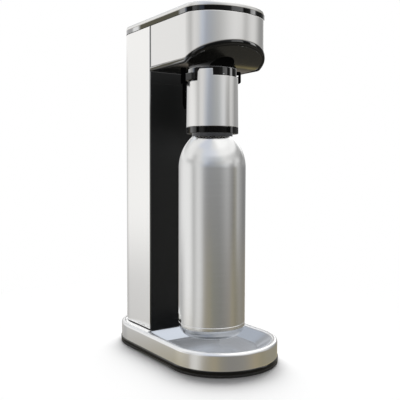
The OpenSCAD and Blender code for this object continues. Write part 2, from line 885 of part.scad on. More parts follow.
// Small coil standing behind the eye of a release lever
module lever_spring(a, pin_z) {
    wire = 0.25;
    r = 0.6;
    h = 1.7 * eye_r;
    color("gray") round_dock(a)
        translate([0, -body_top_r + rel_pin_in + eye_r + r + wire + slit / 2, pin_z - eye_r - eye_wall])
            rings(r, wire, h, 5);
}

module vent_lever_spring() lever_spring(vent_a, vent_pin_z);

module hook_lever_spring() lever_spring(hook_a, hook_pin_z);

// ---------- bottle ----------

// Outline of the bottle from its foot centre to its mouth, drawn inside by t
function shoulder_h() = sqrt(pow(shoulder_r, 2) - pow(shoulder_r - bottle_r + neck_r, 2));
function shoulder_a() = asin(shoulder_h() / shoulder_r);
function bottle_line(t) = concat(
    [[0, bottle_z + t]],
    [for (i = [0 : 12]) let (a = -90 + 90 * i / 12)
        [bottle_r - heel_r + (heel_r - t) * cos(a), bottle_z + heel_r + (heel_r - t) * sin(a)]],
    [for (i = [0 : 16]) let (a = shoulder_a() * i / 16)
        [bottle_r - shoulder_r + (shoulder_r - t) * cos(a),
            bottle_z + bottle_h - shoulder_h() + (shoulder_r - t) * sin(a)]]);

module bottle_form() {
    at_dock() difference() {
        rotate_extrude() polygon(concat(bottle_line(0),
            [[neck_r, collar_z - gap], [mouth_r, collar_z - gap], [mouth_r, mouth_z], [0, mouth_z]]));
        rotate_extrude() polygon(concat(bottle_line(bottle_wall),
            [[mouth_r - mouth_wall, collar_z - neck_h], [mouth_r - mouth_wall, mouth_z + cut],
                [0, mouth_z + cut]]));
    }
}

module bottle() {
    color("silver") difference() {
        bottle_form();
        at_dock(bottle_z - cut) cylinder(r = 2 * bottle_r, h = seam_h + cut);
    }
}

module bottle_base() {
    color("silver") intersection() {
        bottle_form();
        at_dock(bottle_z - cut) cylinder(r = 2 * bottle_r, h = seam_h + cut - 2 * slit);
    }
}

base_shell();
base_plate();
rubber_feet();
base_screws();
drip_tray();
tower_frame();
front_panel();
rear_cover();
cylinder_guides();
head_frame();
head_band();
head_underside();
top_band();
lid();
lid_screws();
press_button();
button_guide();
button_spring();
press_lever();
lever_pivot_pin();
valve_block();
valve_pin();
safety_valve();
cylinder_seal();
gas_tube();
gas_cylinder();
cylinder_valve();
dock_collar();
dock_nozzle();
dock_seal();
dock_nose();
dock_rails();
infuser_body();
infuser_sleeve();
infuser_collar();
bottle_seal();
dip_tube();
vent_lever();
vent_lever_pin();
vent_lever_spring();
hook_lever();
hook_lever_pin();
hook_lever_spring();
bottle();
bottle_base();
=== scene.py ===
"""Soda carbonator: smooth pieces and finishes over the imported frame, in millimetres until a mesh is made."""

import json
import math

import bmesh
import bpy
import numpy as np
from mathutils import Matrix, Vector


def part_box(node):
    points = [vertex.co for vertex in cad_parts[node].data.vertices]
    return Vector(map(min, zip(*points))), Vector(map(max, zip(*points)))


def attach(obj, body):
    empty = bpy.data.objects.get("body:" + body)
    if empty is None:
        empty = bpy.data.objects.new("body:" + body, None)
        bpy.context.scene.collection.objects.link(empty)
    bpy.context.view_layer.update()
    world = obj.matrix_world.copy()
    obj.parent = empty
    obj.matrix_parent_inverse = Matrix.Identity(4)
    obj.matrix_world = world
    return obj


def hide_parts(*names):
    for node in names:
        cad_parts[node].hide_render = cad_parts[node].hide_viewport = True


bl_info = {
    "name": "Soda Carbonator",
    "version": (1, 0, 0),
    "blender": (4, 5, 0),
    "location": "View3D > Sidebar > Carbonator",
    "description": "Builds the visible pieces of a soda carbonator around its packed frame",
    "category": "Object",
}

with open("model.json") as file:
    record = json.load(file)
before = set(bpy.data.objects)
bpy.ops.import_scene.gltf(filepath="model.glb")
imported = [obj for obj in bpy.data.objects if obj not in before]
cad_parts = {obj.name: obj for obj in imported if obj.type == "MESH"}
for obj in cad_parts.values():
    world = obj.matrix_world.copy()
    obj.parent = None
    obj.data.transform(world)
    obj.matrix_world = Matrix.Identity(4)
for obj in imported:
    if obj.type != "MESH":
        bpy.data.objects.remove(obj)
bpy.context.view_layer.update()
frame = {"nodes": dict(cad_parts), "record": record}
MM = 0.001
MERGE_M = 1e-6


# ---------- places taken from the frame ----------

def span(node):
    """Lowest and highest corner of a CAD node as two arrays."""
    return [np.array(corner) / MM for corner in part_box(node)]


def joint_place(name):
    """Rest position of a joint's axis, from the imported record."""
    rows = frame["record"]["behaviour"]["joints"]
    return np.array(next(row["pos_m"] for row in rows if row["name"] == name)) / MM


DOCK = joint_place("bottle_turn")
SHELL_LO, SHELL_HI = span("base_shell")
PLATE_LO, PLATE_HI = span("base_plate")
TRAY_LO, TRAY_HI = span("drip_tray")
PANEL_LO, PANEL_HI = span("front_panel")
COVER_LO, COVER_HI = span("rear_cover")
UNDER_LO, UNDER_HI = span("head_underside")
LID_LO, LID_HI = span("lid")
SLEEVE_LO, SLEEVE_HI = span("infuser_sleeve")
COLLAR_LO, COLLAR_HI = span("infuser_collar")
CYLINDER_LO, CYLINDER_HI = span("gas_cylinder")
BOTTLE_LO, BOTTLE_HI = span("bottle")
FOOT_LO, FOOT_HI = span("bottle_base")
INFUSER_HI = span("infuser_body")[1]
# each release lever's body, its place round the dock in degrees from the front, its width and its CAD node
RELEASES = (("long_release", -128, 13, "vent_lever"), ("short_release", 52, 10, "hook_lever"))


# ---------- sizes and colours ----------

def linear(code):
    """Turns an sRGB hex colour such as "#C0C0C0" into linear red, green and blue."""
    parts = np.array([int(code[i:i + 2], 16) for i in (1, 3, 5)]) / 255
    return tuple(np.where(parts <= 0.04045, parts / 12.92, ((parts + 0.055) / 1.055) ** 2.4).tolist())


def length(millimetres, about):
    """A length setting."""
    return bpy.props.FloatProperty(
        description=about, default=millimetres * MM, min=0.0, unit="LENGTH", subtype="DISTANCE")


def colour(code, about):
    """A colour setting whose default is an sRGB hex colour."""
    return bpy.props.FloatVectorProperty(
        description=about, default=linear(code), size=3, min=0.0, max=1.0, subtype="COLOR")


class CarbonatorSizes(bpy.types.PropertyGroup):
    """Sizes of the smooth pieces that the frame's boxes don't give."""

    base_front: length(63.8, "Reach of the base's rounded front end")
    base_rear: length(67.8, "Reach of the base's rounded rear end")
    rim_r: length(3.2, "Radius of the rolled rim of the base")
    deck_drop: length(1.7, "Depth of the deck below the rim's crest")
    tray_slope: length(17.0, "Run of the tray's sloping wall")
    tray_ramp: length(19.8, "Run of the ramp at the back of the tray")
    tray_sheet: length(1.2, "Thickness of the tray's sheet")
    head_front: length(38.1, "Reach of the head's rounded front end")
    tower_rear: length(38.0, "Reach of the tower's rounded back")
    skin: length(2.2, "Thickness of the silver sheet on tower and head")
    front_rise: length(20.7, "Rise of the slanted underside to the head's front")
    shroud_side: length(5.8, "Height of the dark band along the head's sides")
    shroud_front: length(4.6, "Height of the dark band at the head's front")
    lid_edge: length(2.8, "Radius of the lid's upper edge")
    button_r: length(17.0, "Radius of the press button")
    bottle_wall: length(1.2, "Wall of the bottle")
    heel_r: length(14.0, "Radius of the curve at the bottle's foot")
    shoulder_r: length(52.0, "Radius of the curve from body to neck")
    neck_r: length(24.8, "Radius of the bottle's neck")
    sleeve_top_r: length(30.8, "Radius of the infuser sleeve at its top")
    sleeve_t: length(1.0, "Thickness of the infuser sleeve")
    tab_drop: length(3.1, "Drop from the head to the sleeve's raised tabs")
    front_drop: length(10.9, "Drop from the head to the sleeve's front edge")
    side_drop: length(16.6, "Drop from the head to the sleeve's side edges")
    lever_t: length(3.2, "Thickness of the release levers")


class CarbonatorColours(bpy.types.PropertyGroup):
    """Colours of the finishes."""

    steel: colour("#E6E5E3", "Satin stainless sheet on the head")
    cover: colour("#F4F3F1", "Satin stainless sheet on the tower")
    silver: colour("#ECECEC", "Pressed and bead-blasted base")
    tray: colour("#A8ACB2", "Pressed and bead-blasted tray")
    bottle: colour("#E2E2E1", "Spun stainless bottle")
    panel: colour("#0E0F0F", "Moulded front panel")
    gloss: colour("#0B0B0A", "Gloss moulded trims")
    inner: colour("#080808", "Moulded inner frame")
    # painted shade: a dark ring on the bottle's neck that stands for the shade under the collar
    gasket: colour("#36373A", "Moulded ring round the bottle's neck")
    rubber: colour("#141414", "Feet and seals")
    brass: colour("#C9A766", "Valve parts")
    lacquer: colour("#8FA6B5", "Lacquered aluminium cylinder")


class SizesInMillimetres:
    """The scene's size settings by name, in millimetres."""

    def __getattr__(self, name):
        return getattr(bpy.context.scene.carbonator_sizes, name) / MM


S = SizesInMillimetres()


# ---------- meshes from numpy surfaces ----------

def supported(rows, closed, near=0.5, wide=3):
    """Adds a row close to each end of every wide gap between rows, so that smooth shading stays flat between them."""
    after = np.roll(rows, -1, axis=0)
    gap = np.linalg.norm(after - rows, axis=-1, keepdims=True)
    broad = gap.mean(axis=tuple(range(1, gap.ndim))) > wide
    broad[-1] &= closed
    step = (after - rows) / np.maximum(gap, 1e-6) * np.minimum(near, gap / 3)
    packed = np.stack([rows, rows + step, after - step], axis=1)
    return packed[np.stack([np.ones(len(rows), bool), broad, broad], axis=1)]


def ring_faces(rows, cols, closed, caps):
    """Corner numbers of the quads between a stack's rings, with flat ends of folded quads or of one face each."""
    row, col = np.meshgrid(np.arange(rows if closed else rows - 1), np.arange(cols), indexing="ij")
    row_next, col_next = (row + 1) % rows, (col + 1) % cols
    corners = [row * cols + col, row * cols + col_next, row_next * cols + col_next, row_next * cols + col]
    faces = np.stack(corners, axis=-1).reshape(-1, 4).tolist()
    for first in (0, (rows - 1) * cols):
        i = first + np.arange(cols // 2 - 1)
        opposite = 2 * first + cols - 1 - i
        if caps == "fold":
            faces += np.stack([i, i + 1, opposite - 1, opposite], axis=-1).tolist()
        if caps == "face":
            faces.append(list(range(first, first + cols)))
    return faces


def ring_piece(name, rows, body, closed=True, caps="", sharp=38.0):
    """A stack of rings closed into a tube, capped, or left to run into poles; its seams are closed, its faces turned
    outward, and it rides on a body."""
    points = supported(np.stack(rows), closed)
    mesh = bpy.data.meshes.new(name)
    mesh.from_pydata(points.reshape(-1, 3) * MM, [], ring_faces(*points.shape[:2], closed, caps))
    work = bmesh.new()
    work.from_mesh(mesh)
    bmesh.ops.remove_doubles(work, verts=work.verts, dist=MERGE_M)
    bmesh.ops.recalc_face_normals(work, faces=work.faces)
    work.to_mesh(mesh)
    work.free()
    mesh.polygons.foreach_set("use_smooth", np.ones(len(mesh.polygons), bool))
    mesh.set_sharp_from_angle(angle=math.radians(sharp))
    made = bpy.data.objects.new(name, mesh)
    bpy.context.scene.collection.objects.link(made)
    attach(made, body)
    return made


def unit(rows):
    """Rows scaled to length 1."""
    return rows / np.linalg.norm(rows, axis=-1, keepdims=True)


def at_height(plan, z):
    """Points of a plan, all at one height or each at its own."""
    return np.hstack([plan, np.broadcast_to(np.reshape(z, (-1, 1)), (len(plan), 1))])


def around(centre, radius, degrees, z):
    """Points at a radius from a vertical axis, angles counted from the front toward +X."""
    a = np.radians(degrees)
    return np.stack(np.broadcast_arrays(centre[0] + radius * np.sin(a), centre[1] - radius * np.cos(a), z), axis=-1)


def arc(centre, radius, start, end, steps):
    """Points of a circle's arc from start to end, in degrees, both ends included."""
    a = np.radians(np.linspace(start, end, steps + 1))
    return np.stack([centre[0] + radius * np.cos(a), centre[1] + radius * np.sin(a)], axis=-1)


def soften(corners, radii, steps=6):
    """A line through corners with each inner corner replaced by an arc of its radius, tangent to both sides."""
    corners = np.array(corners, float)
    line = [corners[:1]]
    for before, corner, after, radius in zip(corners, corners[1:], corners[2:], radii):
        one, two = unit(before - corner), unit(after - corner)
        half = math.acos(max(-1.0, min(1.0, float(one @ two)))) / 2
        centre = corner + unit(one + two) * radius / math.sin(half)
        begin, end = (corner + side * radius / math.tan(half) - centre for side in (one, two))
        t = np.linspace(0, 1, steps + 1)[:, None]
        sweep = math.pi - 2 * half
        line.append(centre + (begin * np.sin((1 - t) * sweep) + end * np.sin(t * sweep)) / math.sin(sweep))
    return np.concatenate([*line, corners[-1:]])


def revolve(name, line, centre, body, turns=128):
    """A line of radius and height turned round a vertical axis; it starts and ends on the axis or closes on itself."""
    line = np.array(line, float)
    points = around(centre, line[:, :1], np.linspace(0, 360, turns, endpoint=False), line[:, 1:])
    return ring_piece(name, points, body, closed=line[0, 0] > 0)


def inward(path, inset, z):
    """A path, which is its points and outward directions seen from above, drawn inward by inset at height z."""
    p, n = path
    return at_height(p - unit(n) * inset, z)


def half_oval(half_w, y_front, y_rear, front, rear, side=16):
    """Right half of an oval, front to back: a quarter ellipse, a straight side and a quarter ellipse."""
    a = (np.arange(64) + 0.5) / 64 * math.pi / 2
    s, c = np.sin(a), np.cos(a)
    p = [[half_w * s, y_front - front * c], [np.full(side, half_w), np.linspace(y_front, y_rear, side)],
         [half_w * c, y_rear + rear * s]]
    n = [[s / half_w, -c / front], [np.ones(side), np.zeros(side)], [c / half_w, s / rear]]
    return np.hstack(p).T, unit(np.hstack(n).T)


def both_sides(p, n, front=False):
    """A right half joined to its mirror image, so that the path runs round the back, or round the front."""
    pairs = [(rows, rows[::-1] * (-1.0, 1.0)) for rows in (p, n)]
    return [np.concatenate([mirror, rows] if front else [rows, mirror]) for rows, mirror in pairs]


def cut_half(p, n, y, front):
    """Part of a half outline ahead of y, or behind it, ending exactly at y."""
    both = np.hstack([p, n])
    edge = np.array([[np.interp(y, p[:, 1], column) for column in both.T]])
    kept = [both[p[:, 1] < y - 1e-4], edge] if front else [edge, both[p[:, 1] > y + 1e-4]]
    both = np.concatenate(kept)
    return both[:, :2], both[:, 2:]


def open_path(half, y, front):
    """The path round the front of a half outline and its mirror image, or round the back, as far as y."""
    return both_sides(*cut_half(*half, y, front), front)


def wall(path, thickness, edge):
    """Closed outline of a thin wall that follows an open path, with both ends rounded by edge."""
    p, n = path
    a = np.radians(np.linspace(0, 90, 7))[:, None]

    def end(last, before, out):
        ahead = unit(last - before)
        first = np.cos(a) * out + np.sin(a) * ahead
        second = np.cos(a) * ahead - np.sin(a) * out
        corner = last - edge * ahead
        inner = corner - (thickness - edge) * out + edge * second
        return np.concatenate([corner - edge * out + edge * first, inner]), np.concatenate([first, second])

    tail, tail_n = end(p[-1], p[-2], n[-1])
    head, head_n = end(p[0], p[1], n[0])
    return (np.concatenate([p[1:-1], tail, (p - thickness * n)[-2:0:-1], head[::-1]]),
            np.concatenate([n[1:-1], tail_n, -n[-2:0:-1], head_n[::-1]]))


def prism(name, outline, z0, z1, bevel, body, caps="fold"):
    """An outline carried from z0 to z1, with its lower and upper edges rounded by bevel."""
    quarter = [(bevel * (1 - math.sin(t)), bevel * (1 - math.cos(t))) for t in np.radians(np.linspace(0, 90, 5))]
    rows = [inward(outline, inset, z0 + climb) for inset, climb in quarter]
    rows += [inward(outline, inset, z1 - climb) for inset, climb in quarter[::-1]]
    return ring_piece(name, rows, body, closed=False, caps=caps)


def box_piece(name, low, high, bevel, body):
    """A block between two corners with its edges rounded by bevel."""
    low, high = np.array(low), np.array(high)
    middle, half = (low + high)[:2] / 2, (high - low)[:2] / 2
    rows = []
    for start, way in ((-90, (1, -1)), (0, (1, 1)), (90, (-1, 1)), (180, (-1, -1))):
        out = arc((0, 0), 1, start, start + 90, 4)
        rows.append(np.hstack([middle + (half - bevel) * way + bevel * out, out]))
    line = supported(np.concatenate(rows), True)
    return prism(name, (line[:, :2], line[:, 2:]), low[2], high[2], bevel, body, caps="face")


def round_dock(degrees, local):
    """Points drawn at the front of the dock axis turned round it, toward +X for a positive angle."""
    c, s = math.cos(math.radians(degrees)), math.sin(math.radians(degrees))
    x, y = local[..., 0], local[..., 1]
    return np.stack([DOCK[0] + x * c - y * s, DOCK[1] + x * s + y * c, local[..., 2]], axis=-1)


# ---------- materials ----------

NOISE_RANGE = (0.3, 0.7)  # nearly all of a noise lies between these


def add_node(tree, kind, inputs=(), **settings):
    """Adds one shader node of a kind; inputs pairs a socket's name or number with a value or another node's output."""
    made = tree.nodes.new(f"ShaderNode{kind}")
    for key, value in settings.items():
        setattr(made, key, value)
    for key, value in dict(inputs).items():
        if isinstance(value, bpy.types.NodeSocket):
            tree.links.new(value, made.inputs[key])
        else:
            made.inputs[key].default_value = value
    return made


def surface(name, base, roughness, **sockets):
    """A new material with one principled shader, its plain values set on the shader's own sockets."""
    made = bpy.data.materials.new(name)
    made.use_nodes = True
    tree = made.node_tree
    tree.nodes.clear()
    values = {"Base Color": (*base, 1.0), "Roughness": roughness}
    values.update({key.replace("_", " "): value for key, value in sockets.items()})
    shader = add_node(tree, "BsdfPrincipled", values)
    add_node(tree, "OutputMaterial", {"Surface": shader.outputs[0]})
    return made, tree, shader


def patterned(name, base, rough, grain, bump=None, cloud=None, shift=0.05, **sockets):
    """A material with a grain: noise on object coordinates, given by its size in millimetres and its stretch along
    each axis. The grain moves the roughness within rough. Bump is the relief's depth in millimetres, its strength and
    a grain of its own if it has one. The base colour drifts by shift with the grain, or with a cloud of its size."""
    made, tree, shader = surface(name, base, rough[0], **sockets)
    place = add_node(tree, "TexCoord").outputs["Object"]

    def noise(size, stretch=(1, 1, 1), detail=2.0):
        scale = tuple(1 / (size * MM * s) for s in stretch)
        mapped = add_node(tree, "Mapping", {"Vector": place, "Scale": scale})
        inputs = {"Vector": mapped.outputs[0], "Scale": 1.0, "Detail": detail}
        return add_node(tree, "TexNoise", inputs).outputs["Fac"]

    grey = noise(*grain)
    if rough[0] < rough[1]:
        ends = dict(zip(("Value", "From Min", "From Max", "To Min", "To Max"), (grey, *NOISE_RANGE, *rough)))
        tree.links.new(add_node(tree, "MapRange", ends).outputs[0], shader.inputs["Roughness"])
    if bump:
        depth, strength, *own = bump
        height = {"Height": noise(*own) if own else grey, "Strength": strength, "Distance": depth * MM}
        tree.links.new(add_node(tree, "Bump", height).outputs[0], shader.inputs["Normal"])
    tones = [(*(min(1.0, c * gain) for c in base), 1.0) for gain in (1 - shift, 1 + shift)]
    drift = {0: noise(cloud) if cloud else grey, 6: tones[0], 7: tones[1]}
    mix = add_node(tree, "Mix", drift, data_type="RGBA")
    tree.links.new(mix.outputs[2], shader.inputs["Base Color"])
    return made


MATERIALS = {}
# finishes that show in the reflections of others
MIRRORS_SEE = ("silver", "tray", "bottle", "milky")


def build_materials():
    """Makes every finish once, from the scene's colour settings."""
    c = bpy.context.scene.carbonator_colours
    metal = {"Metallic": 1.0}
    sheet = {"rough": (0.13, 0.18), "bump": (0.004, 0.12), "shift": 0.012, **metal}
    blasted = {"rough": (0.17, 0.22), "grain": [0.5], "bump": (0.01, 0.08), "cloud": 30, "shift": 0.01, **metal}
    moulded = {"bump": (0.03, 0.3), "grain": [0.6], "cloud": 40, "IOR": 1.5}
    turned = {"grain": (0.4, (30, 30, 1)), "bump": (0.01, 0.2), "cloud": 6, "shift": 0.04, **metal}
    MATERIALS.update(
        # stainless sheet with a fine polished grain: soft reflections drawn out along it. The real grain is under
        # 0.1 mm, so it is drawn 0.7 mm wide to show at all
        sheet=patterned("satin_stainless_sheet", c.steel, grain=(0.7, (1, 1, 60)), **sheet),
        lid=patterned("satin_stainless_lid", c.steel, grain=(0.7, (1, 60, 1)), **sheet),
        cover=patterned("satin_stainless_cover", c.cover, grain=(0.7, (1, 1, 60)), **sheet),
        # pressed sheet, bead-blasted and clear coated: an even soft sheen with the faintest grit
        silver=patterned("bead_blasted_silver", c.silver, **blasted),
        tray=patterned("bead_blasted_tray", c.tray, **blasted),
        # bottle turned on a lathe and polished: rings of the belt under long upright reflections. They are drawn
        # 0.9 mm apart so that they just show
        bottle=patterned("spun_stainless_bottle", c.bottle, (0.14, 0.2), (0.9, (60, 60, 1)), (0.003, 0.08),
                         shift=0.01, **metal),
        # ABS from a mirror-polished mould: near black, sharp reflections and a slight waviness of the skin
        gloss=patterned("mirror_polished_abs", c.gloss, (0.0, 0.0), [14], (0.02, 0.1), 40, IOR=1.5),
        # ABS from a plainly polished mould: dark, with soft reflections like a lacquered ceiling
        ceiling=patterned("polished_abs", c.gloss, (0.13, 0.2), [10], cloud=40, IOR=1.5, Specular_IOR_Level=0.3),
        # ABS from a spark-eroded mould: dark and even, with an eggshell grain that scatters the light
        panel=patterned("spark_eroded_black_abs", c.panel, (0.391, 0.529), Specular_IOR_Level=0.25, **moulded),
        # nylon filled with glass fibre: coarse and dead black, with no shine of its own
        inner=patterned("glass_filled_nylon", c.inner, (0.51, 0.69), Specular_IOR_Level=0.0, **moulded),
        # nylon from a finely eroded mould: dark grey, with a broad soft highlight. It is painted shade: a dark ring
        # put on the bottle's neck where the collar's shade falls
        gasket=patterned("painted_shade_ring", c.gasket, (0.255, 0.345), Specular_IOR_Level=0.5, **moulded),
        # moulded rubber: matt black with a dusty bloom in patches
        rubber=patterned("moulded_rubber", c.rubber, (0.6, 0.82), (5, (1, 1, 1), 4.0), (0.02, 0.3, 0.5), shift=0.3,
                         IOR=1.5),
        # turned bar stock: small tool rings across the axis and a clean metallic shine
        steel=patterned("turned_steel", linear("#B9BABC"), (0.24, 0.36), **turned),
        brass=patterned("turned_brass", c.brass, (0.224, 0.336), **turned),
        # drawn aluminium under coloured lacquer: a metal sheen below a thin clear gloss
        lacquer=patterned("lacquered_aluminium", c.lacquer, (0.3, 0.42), (3, (1, 1, 12)), shift=0.03, Metallic=0.9,
                          Coat_Weight=0.5),
        # extruded polythene: milky, slightly see-through and waxy
        milky=patterned("extruded_polythene", linear("#E4E4DF"), (0.3, 0.42), (0.8, (1, 1, 20)), shift=0.03,
                        Subsurface_Weight=0.3, Subsurface_Scale=1.0, Subsurface_Radius=(2 * MM, 2 * MM, 1.6 * MM)))


def dress(piece, material):
    """Gives an object its material. Only bright metal shows in reflections; only the low base shades the floor."""
    if not MATERIALS:
        build_materials()
    piece.data.materials.clear()
    piece.data.materials.append(MATERIALS[material])
    piece.visible_glossy = material in MIRRORS_SEE
    top = max(corner[2] for corner in piece.bound_box) / MM
    piece.visible_shadow = piece.visible_diffuse = bool(top < SHELL_HI[2] + 1)


def finish(piece, material, slot, *replaced):
    """Gives a piece its material and hides the CAD nodes it stands for; the slot argument is not used."""
    dress(piece, material)
    if replaced:
        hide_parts(*replaced)
    return piece


def dress_nodes(material, *nodes):
    """Gives CAD nodes that stay in view their material."""
    for node in nodes:
        dress(frame["nodes"][node], material)


# ---------- outlines of the machine ----------

def base_half(proud=0):
    """Right half of the base's outline, drawn proud of the shell."""
    return half_oval(SHELL_HI[0] + proud, SHELL_LO[1] + S.base_front, SHELL_HI[1] - S.base_rear,
                     S.base_front + proud, S.base_rear + proud)


def crease():
    """Where the head's rounded front and its slanted underside begin, counted along Y."""
    return LID_LO[1] + S.head_front


def head_half(proud=0):
    """Right half of the outline of tower and head, drawn proud of it."""
    return half_oval(LID_HI[0] + proud, crease(), LID_HI[1] - S.tower_rear, S.head_front + proud,
                     S.tower_rear + proud, side=48)


def slant(y, climb, round_r=1.2):
    """Height of a slanted edge above its crease: none behind the crease, climbing evenly to the head's front."""
    reach = S.head_front
    ahead = (crease() - y) / reach
    return climb * 0.5 * (ahead + np.sqrt(ahead ** 2 + (round_r / reach) ** 2))


def band_edge(y):
    """Height of the silver band's lower edge."""
    return UNDER_LO[2] + S.shroud_side + slant(y, S.front_rise + S.shroud_front - S.shroud_side)


# ---------- pieces ----------

class CARBONATOR_OT_base(bpy.types.Operator):
    """Base shell with its rolled rim, deck, plate, feet and screws"""

    bl_idname = "carbonator.base"
    bl_label = "Base"

    def execute(self, context):
        low, crest = SHELL_LO[2], SHELL_HI[2]
        deck_z = crest - S.deck_drop
        under_rim = 2 * S.rim_r
        well_z = TRAY_LO[2] - 0.3
        wall_t, hem = 2.4, 0.5
        section = np.concatenate([
            arc((S.rim_r, crest - S.rim_r), S.rim_r, 180, 90, 10),
            (arc((0, 0), 1, 90, 0, 8) * (S.rim_r, S.deck_drop) + (S.rim_r, deck_z))[1:],
            [[under_rim, well_z], [wall_t, well_z], [wall_t, low], [hem, low], [0, low + hem]]])
        rim = ring_piece("base_rim", [inward(mirrored_base(), *place) for place in section], "stand")
        finish(rim, "silver", "satin_aluminium", "base_shell")

        p, n = cut_half(*base_half(), PANEL_LO[1], front=False)
        edge = both_sides(p - 0.9 * under_rim * n, n)[0]
        centre = (CYLINDER_LO[:2] + CYLINDER_HI[:2]) / 2
        hole_r = (CYLINDER_HI[0] - CYLINDER_LO[0]) / 2 + 2.5
        hole = centre + hole_r * unit(edge - centre)
        below = deck_z - 2
        deck = [at_height(*row) for row in ((edge, deck_z), (hole, deck_z), (hole, below), (edge, below))]
        finish(ring_piece("base_deck", deck, "stand"), "silver", "satin_aluminium")

        # a dark moulded strip under the tower's foot; its dark colour also paints the shade in the gap between the
        # tower and the deck
        strip = wall(open_path(head_half(-0.8), COVER_LO[1], front=False), 3, 0.3)
        plinth = prism("tower_plinth", strip, deck_z - 0.5, COVER_LO[2] - 0.45, 0.3, "stand")
        finish(plinth, "inner", "matte_black")

        plate = mirrored_base(PLATE_HI[0] - SHELL_HI[0])
        plate = prism("base_plate_skin", plate, PLATE_LO[2], PLATE_HI[2], 0.7, "stand")
        finish(plate, "gloss", "matte_black", "base_plate")
        self.feet()
        self.screws()
        return {"FINISHED"}

    def feet(self):
        """Two arc-shaped pads: thin walls along the outline's ends, with rounded ends and edges that thin out."""
        low, high = span("rubber_feet")
        width, round_r, taper = 8, 2.5, 16
        for name, y, front in (("front_foot", SHELL_LO[1] + 75, True), ("rear_foot", SHELL_HI[1] - 100, False)):
            pad = wall(open_path(base_half(0.6), y, front), width, round_r)
            near_end = 1 - np.clip(np.abs(pad[0][:, 1:] - y) / taper, 0, 1)
            lift = near_end ** 2 * 0.8 * (high[2] - low[2])
            pad = prism(name, pad, low[2] + lift, high[2], 0.25, "stand")
            finish(pad, "rubber", "rubber", *(["rubber_feet"] if front else []))

    def screws(self):
        """Four pan heads: a low dome with a dished socket, sunk in the plate."""
        low, high = span("base_screws")
        z, top = low[2], high[2]
        line = [(0, z + 1.2), (1.3, z + 1.2), (1.5, z), (2.6, z + 0.1), (3.6, z + 0.6), (3.9, z + 1.2), (3.9, z + 1.7),
                (1.9, z + 1.7), (1.9, top), (0, top)]
        head_r = 3.9
        right = high[0] - head_r
        for i, x in enumerate((-right, -right, right, right)):
            y = (low[1] + head_r, high[1] - head_r)[i % 2]
            head = revolve(f"base_screw_{i + 1}", line, (x, y), "stand", turns=32)
            finish(head, "steel", "steel_parts", *(["base_screws"] if i == 0 else []))


def mirrored_base(proud=0):
    """The base's whole outline, drawn proud of the shell."""
    return both_sides(*base_half(proud))


def tray_outline(inset, y_back, corner=2.5):
    """Closed plan of the tray: the base's front oval drawn in by inset, cut straight at y_back with round corners."""
    p, n = half_oval(SHELL_HI[0], SHELL_LO[1] + S.base_front, y_back - corner, S.base_front, S.base_rear)
    p = (p - inset * n)[:80]
    centre = (p[-1, 0] - corner, y_back - corner)
    back = np.linspace(centre[0], 0, 24, endpoint=False)[1:, None]
    p = np.concatenate([p, arc(centre, corner, 0, 90, 8)[1:], np.hstack([back, np.full_like(back, y_back)])])
    return both_sides(p, p)[0]


class CARBONATOR_OT_tray(bpy.types.Operator):
    """Loose drip tray: a dished sheet with a small lip, sloping walls and a flat floor"""

    bl_idname = "carbonator.tray"
    bl_label = "Drip tray"

    def execute(self, context):
        inset = SHELL_HI[0] - TRAY_HI[0]
        lip = 1.4
        top = tray_outline(inset, TRAY_HI[1])
        floor = tray_outline(inset + S.tray_slope, TRAY_HI[1] - S.tray_ramp + 0.5)
        centre = floor.mean(axis=0)
        drop = TRAY_HI[2] - TRAY_LO[2] - S.tray_sheet
        slope = soften([(0.04 * S.tray_slope, 0), (lip, 0), (S.tray_slope, drop), (S.tray_slope + 8, drop)],
                       (1.2, 3), 8) / (S.tray_slope, 1)
        upper = np.concatenate([[[0, 0.4], [0.02, 0.08], [0.04, 0]], slope])

        def sheet(lag, thick):
            """One face of the sheet: rings from the tray's edge down to its floor, then in to the floor's middle."""
            rings = []
            for share, depth in upper:
                share = share + lag
                plan = top * (1 - min(share, 1)) + floor * min(share, 1)
                plan = plan + (centre - plan) * max(0, share - 1) * 0.3
                rings.append(at_height(plan, TRAY_HI[2] - depth - thick))
            rings += [at_height(centre + (plan - centre) * g, TRAY_HI[2] - drop - thick)
                      for g in np.linspace(1, 0, 12)[1:]]
            return rings

        rows = sheet(0.02, S.tray_sheet)[::-1] + sheet(0, 0)
        tray = ring_piece("drip_tray_dish", rows, "tray", closed=False)
        finish(tray, "tray", "satin_aluminium", "drip_tray")
        return {"FINISHED"}


class CARBONATOR_OT_tower(bpy.types.Operator):
    """Front panel and rear cover, with the frame and guides behind them"""

    bl_idname = "carbonator.tower"
    bl_label = "Tower"

    def execute(self, context):
        # only the panel's foot and top show in reflections, so they are pieces of their own
        foot, sill, brow, top = PANEL_LO[2], PANEL_LO[2] + 11, PANEL_HI[2] - 14, PANEL_HI[2]
        for name, low, high, *node in (("front_panel_foot", foot, sill), ("front_panel_top", brow, top),
                                       ("front_panel_skin", sill, brow, "front_panel")):
            part = box_piece(name, (*PANEL_LO[:2], low), (*PANEL_HI[:2], high), 0.1, "stand")
            finish(part, "panel", "matte_black", *node).visible_glossy = not node
        path = open_path(head_half(), COVER_LO[1] + 1.1, front=False)
        skin = prism("rear_cover_skin", wall(path, S.skin, 0.9), COVER_LO[2], COVER_HI[2], 0.5, "cover")
        finish(skin, "cover", "brushed_steel_skin", "rear_cover")
        for name, side in (("left_seam_trim", -1), ("right_seam_trim", 1)):
            near, far = sorted((side * (PANEL_HI[0] + 0.05), side * (COVER_HI[0] - 0.15)))
            trim = box_piece(name, (near, PANEL_LO[1] + 0.1, COVER_LO[2]),
                             (far, COVER_LO[1] + 1, COVER_HI[2] - 0.5), 0.1, "stand")
            finish(trim, "gloss", "gloss_black")
        dress_nodes("inner", "tower_frame", "cylinder_guides")
        return {"FINISHED"}


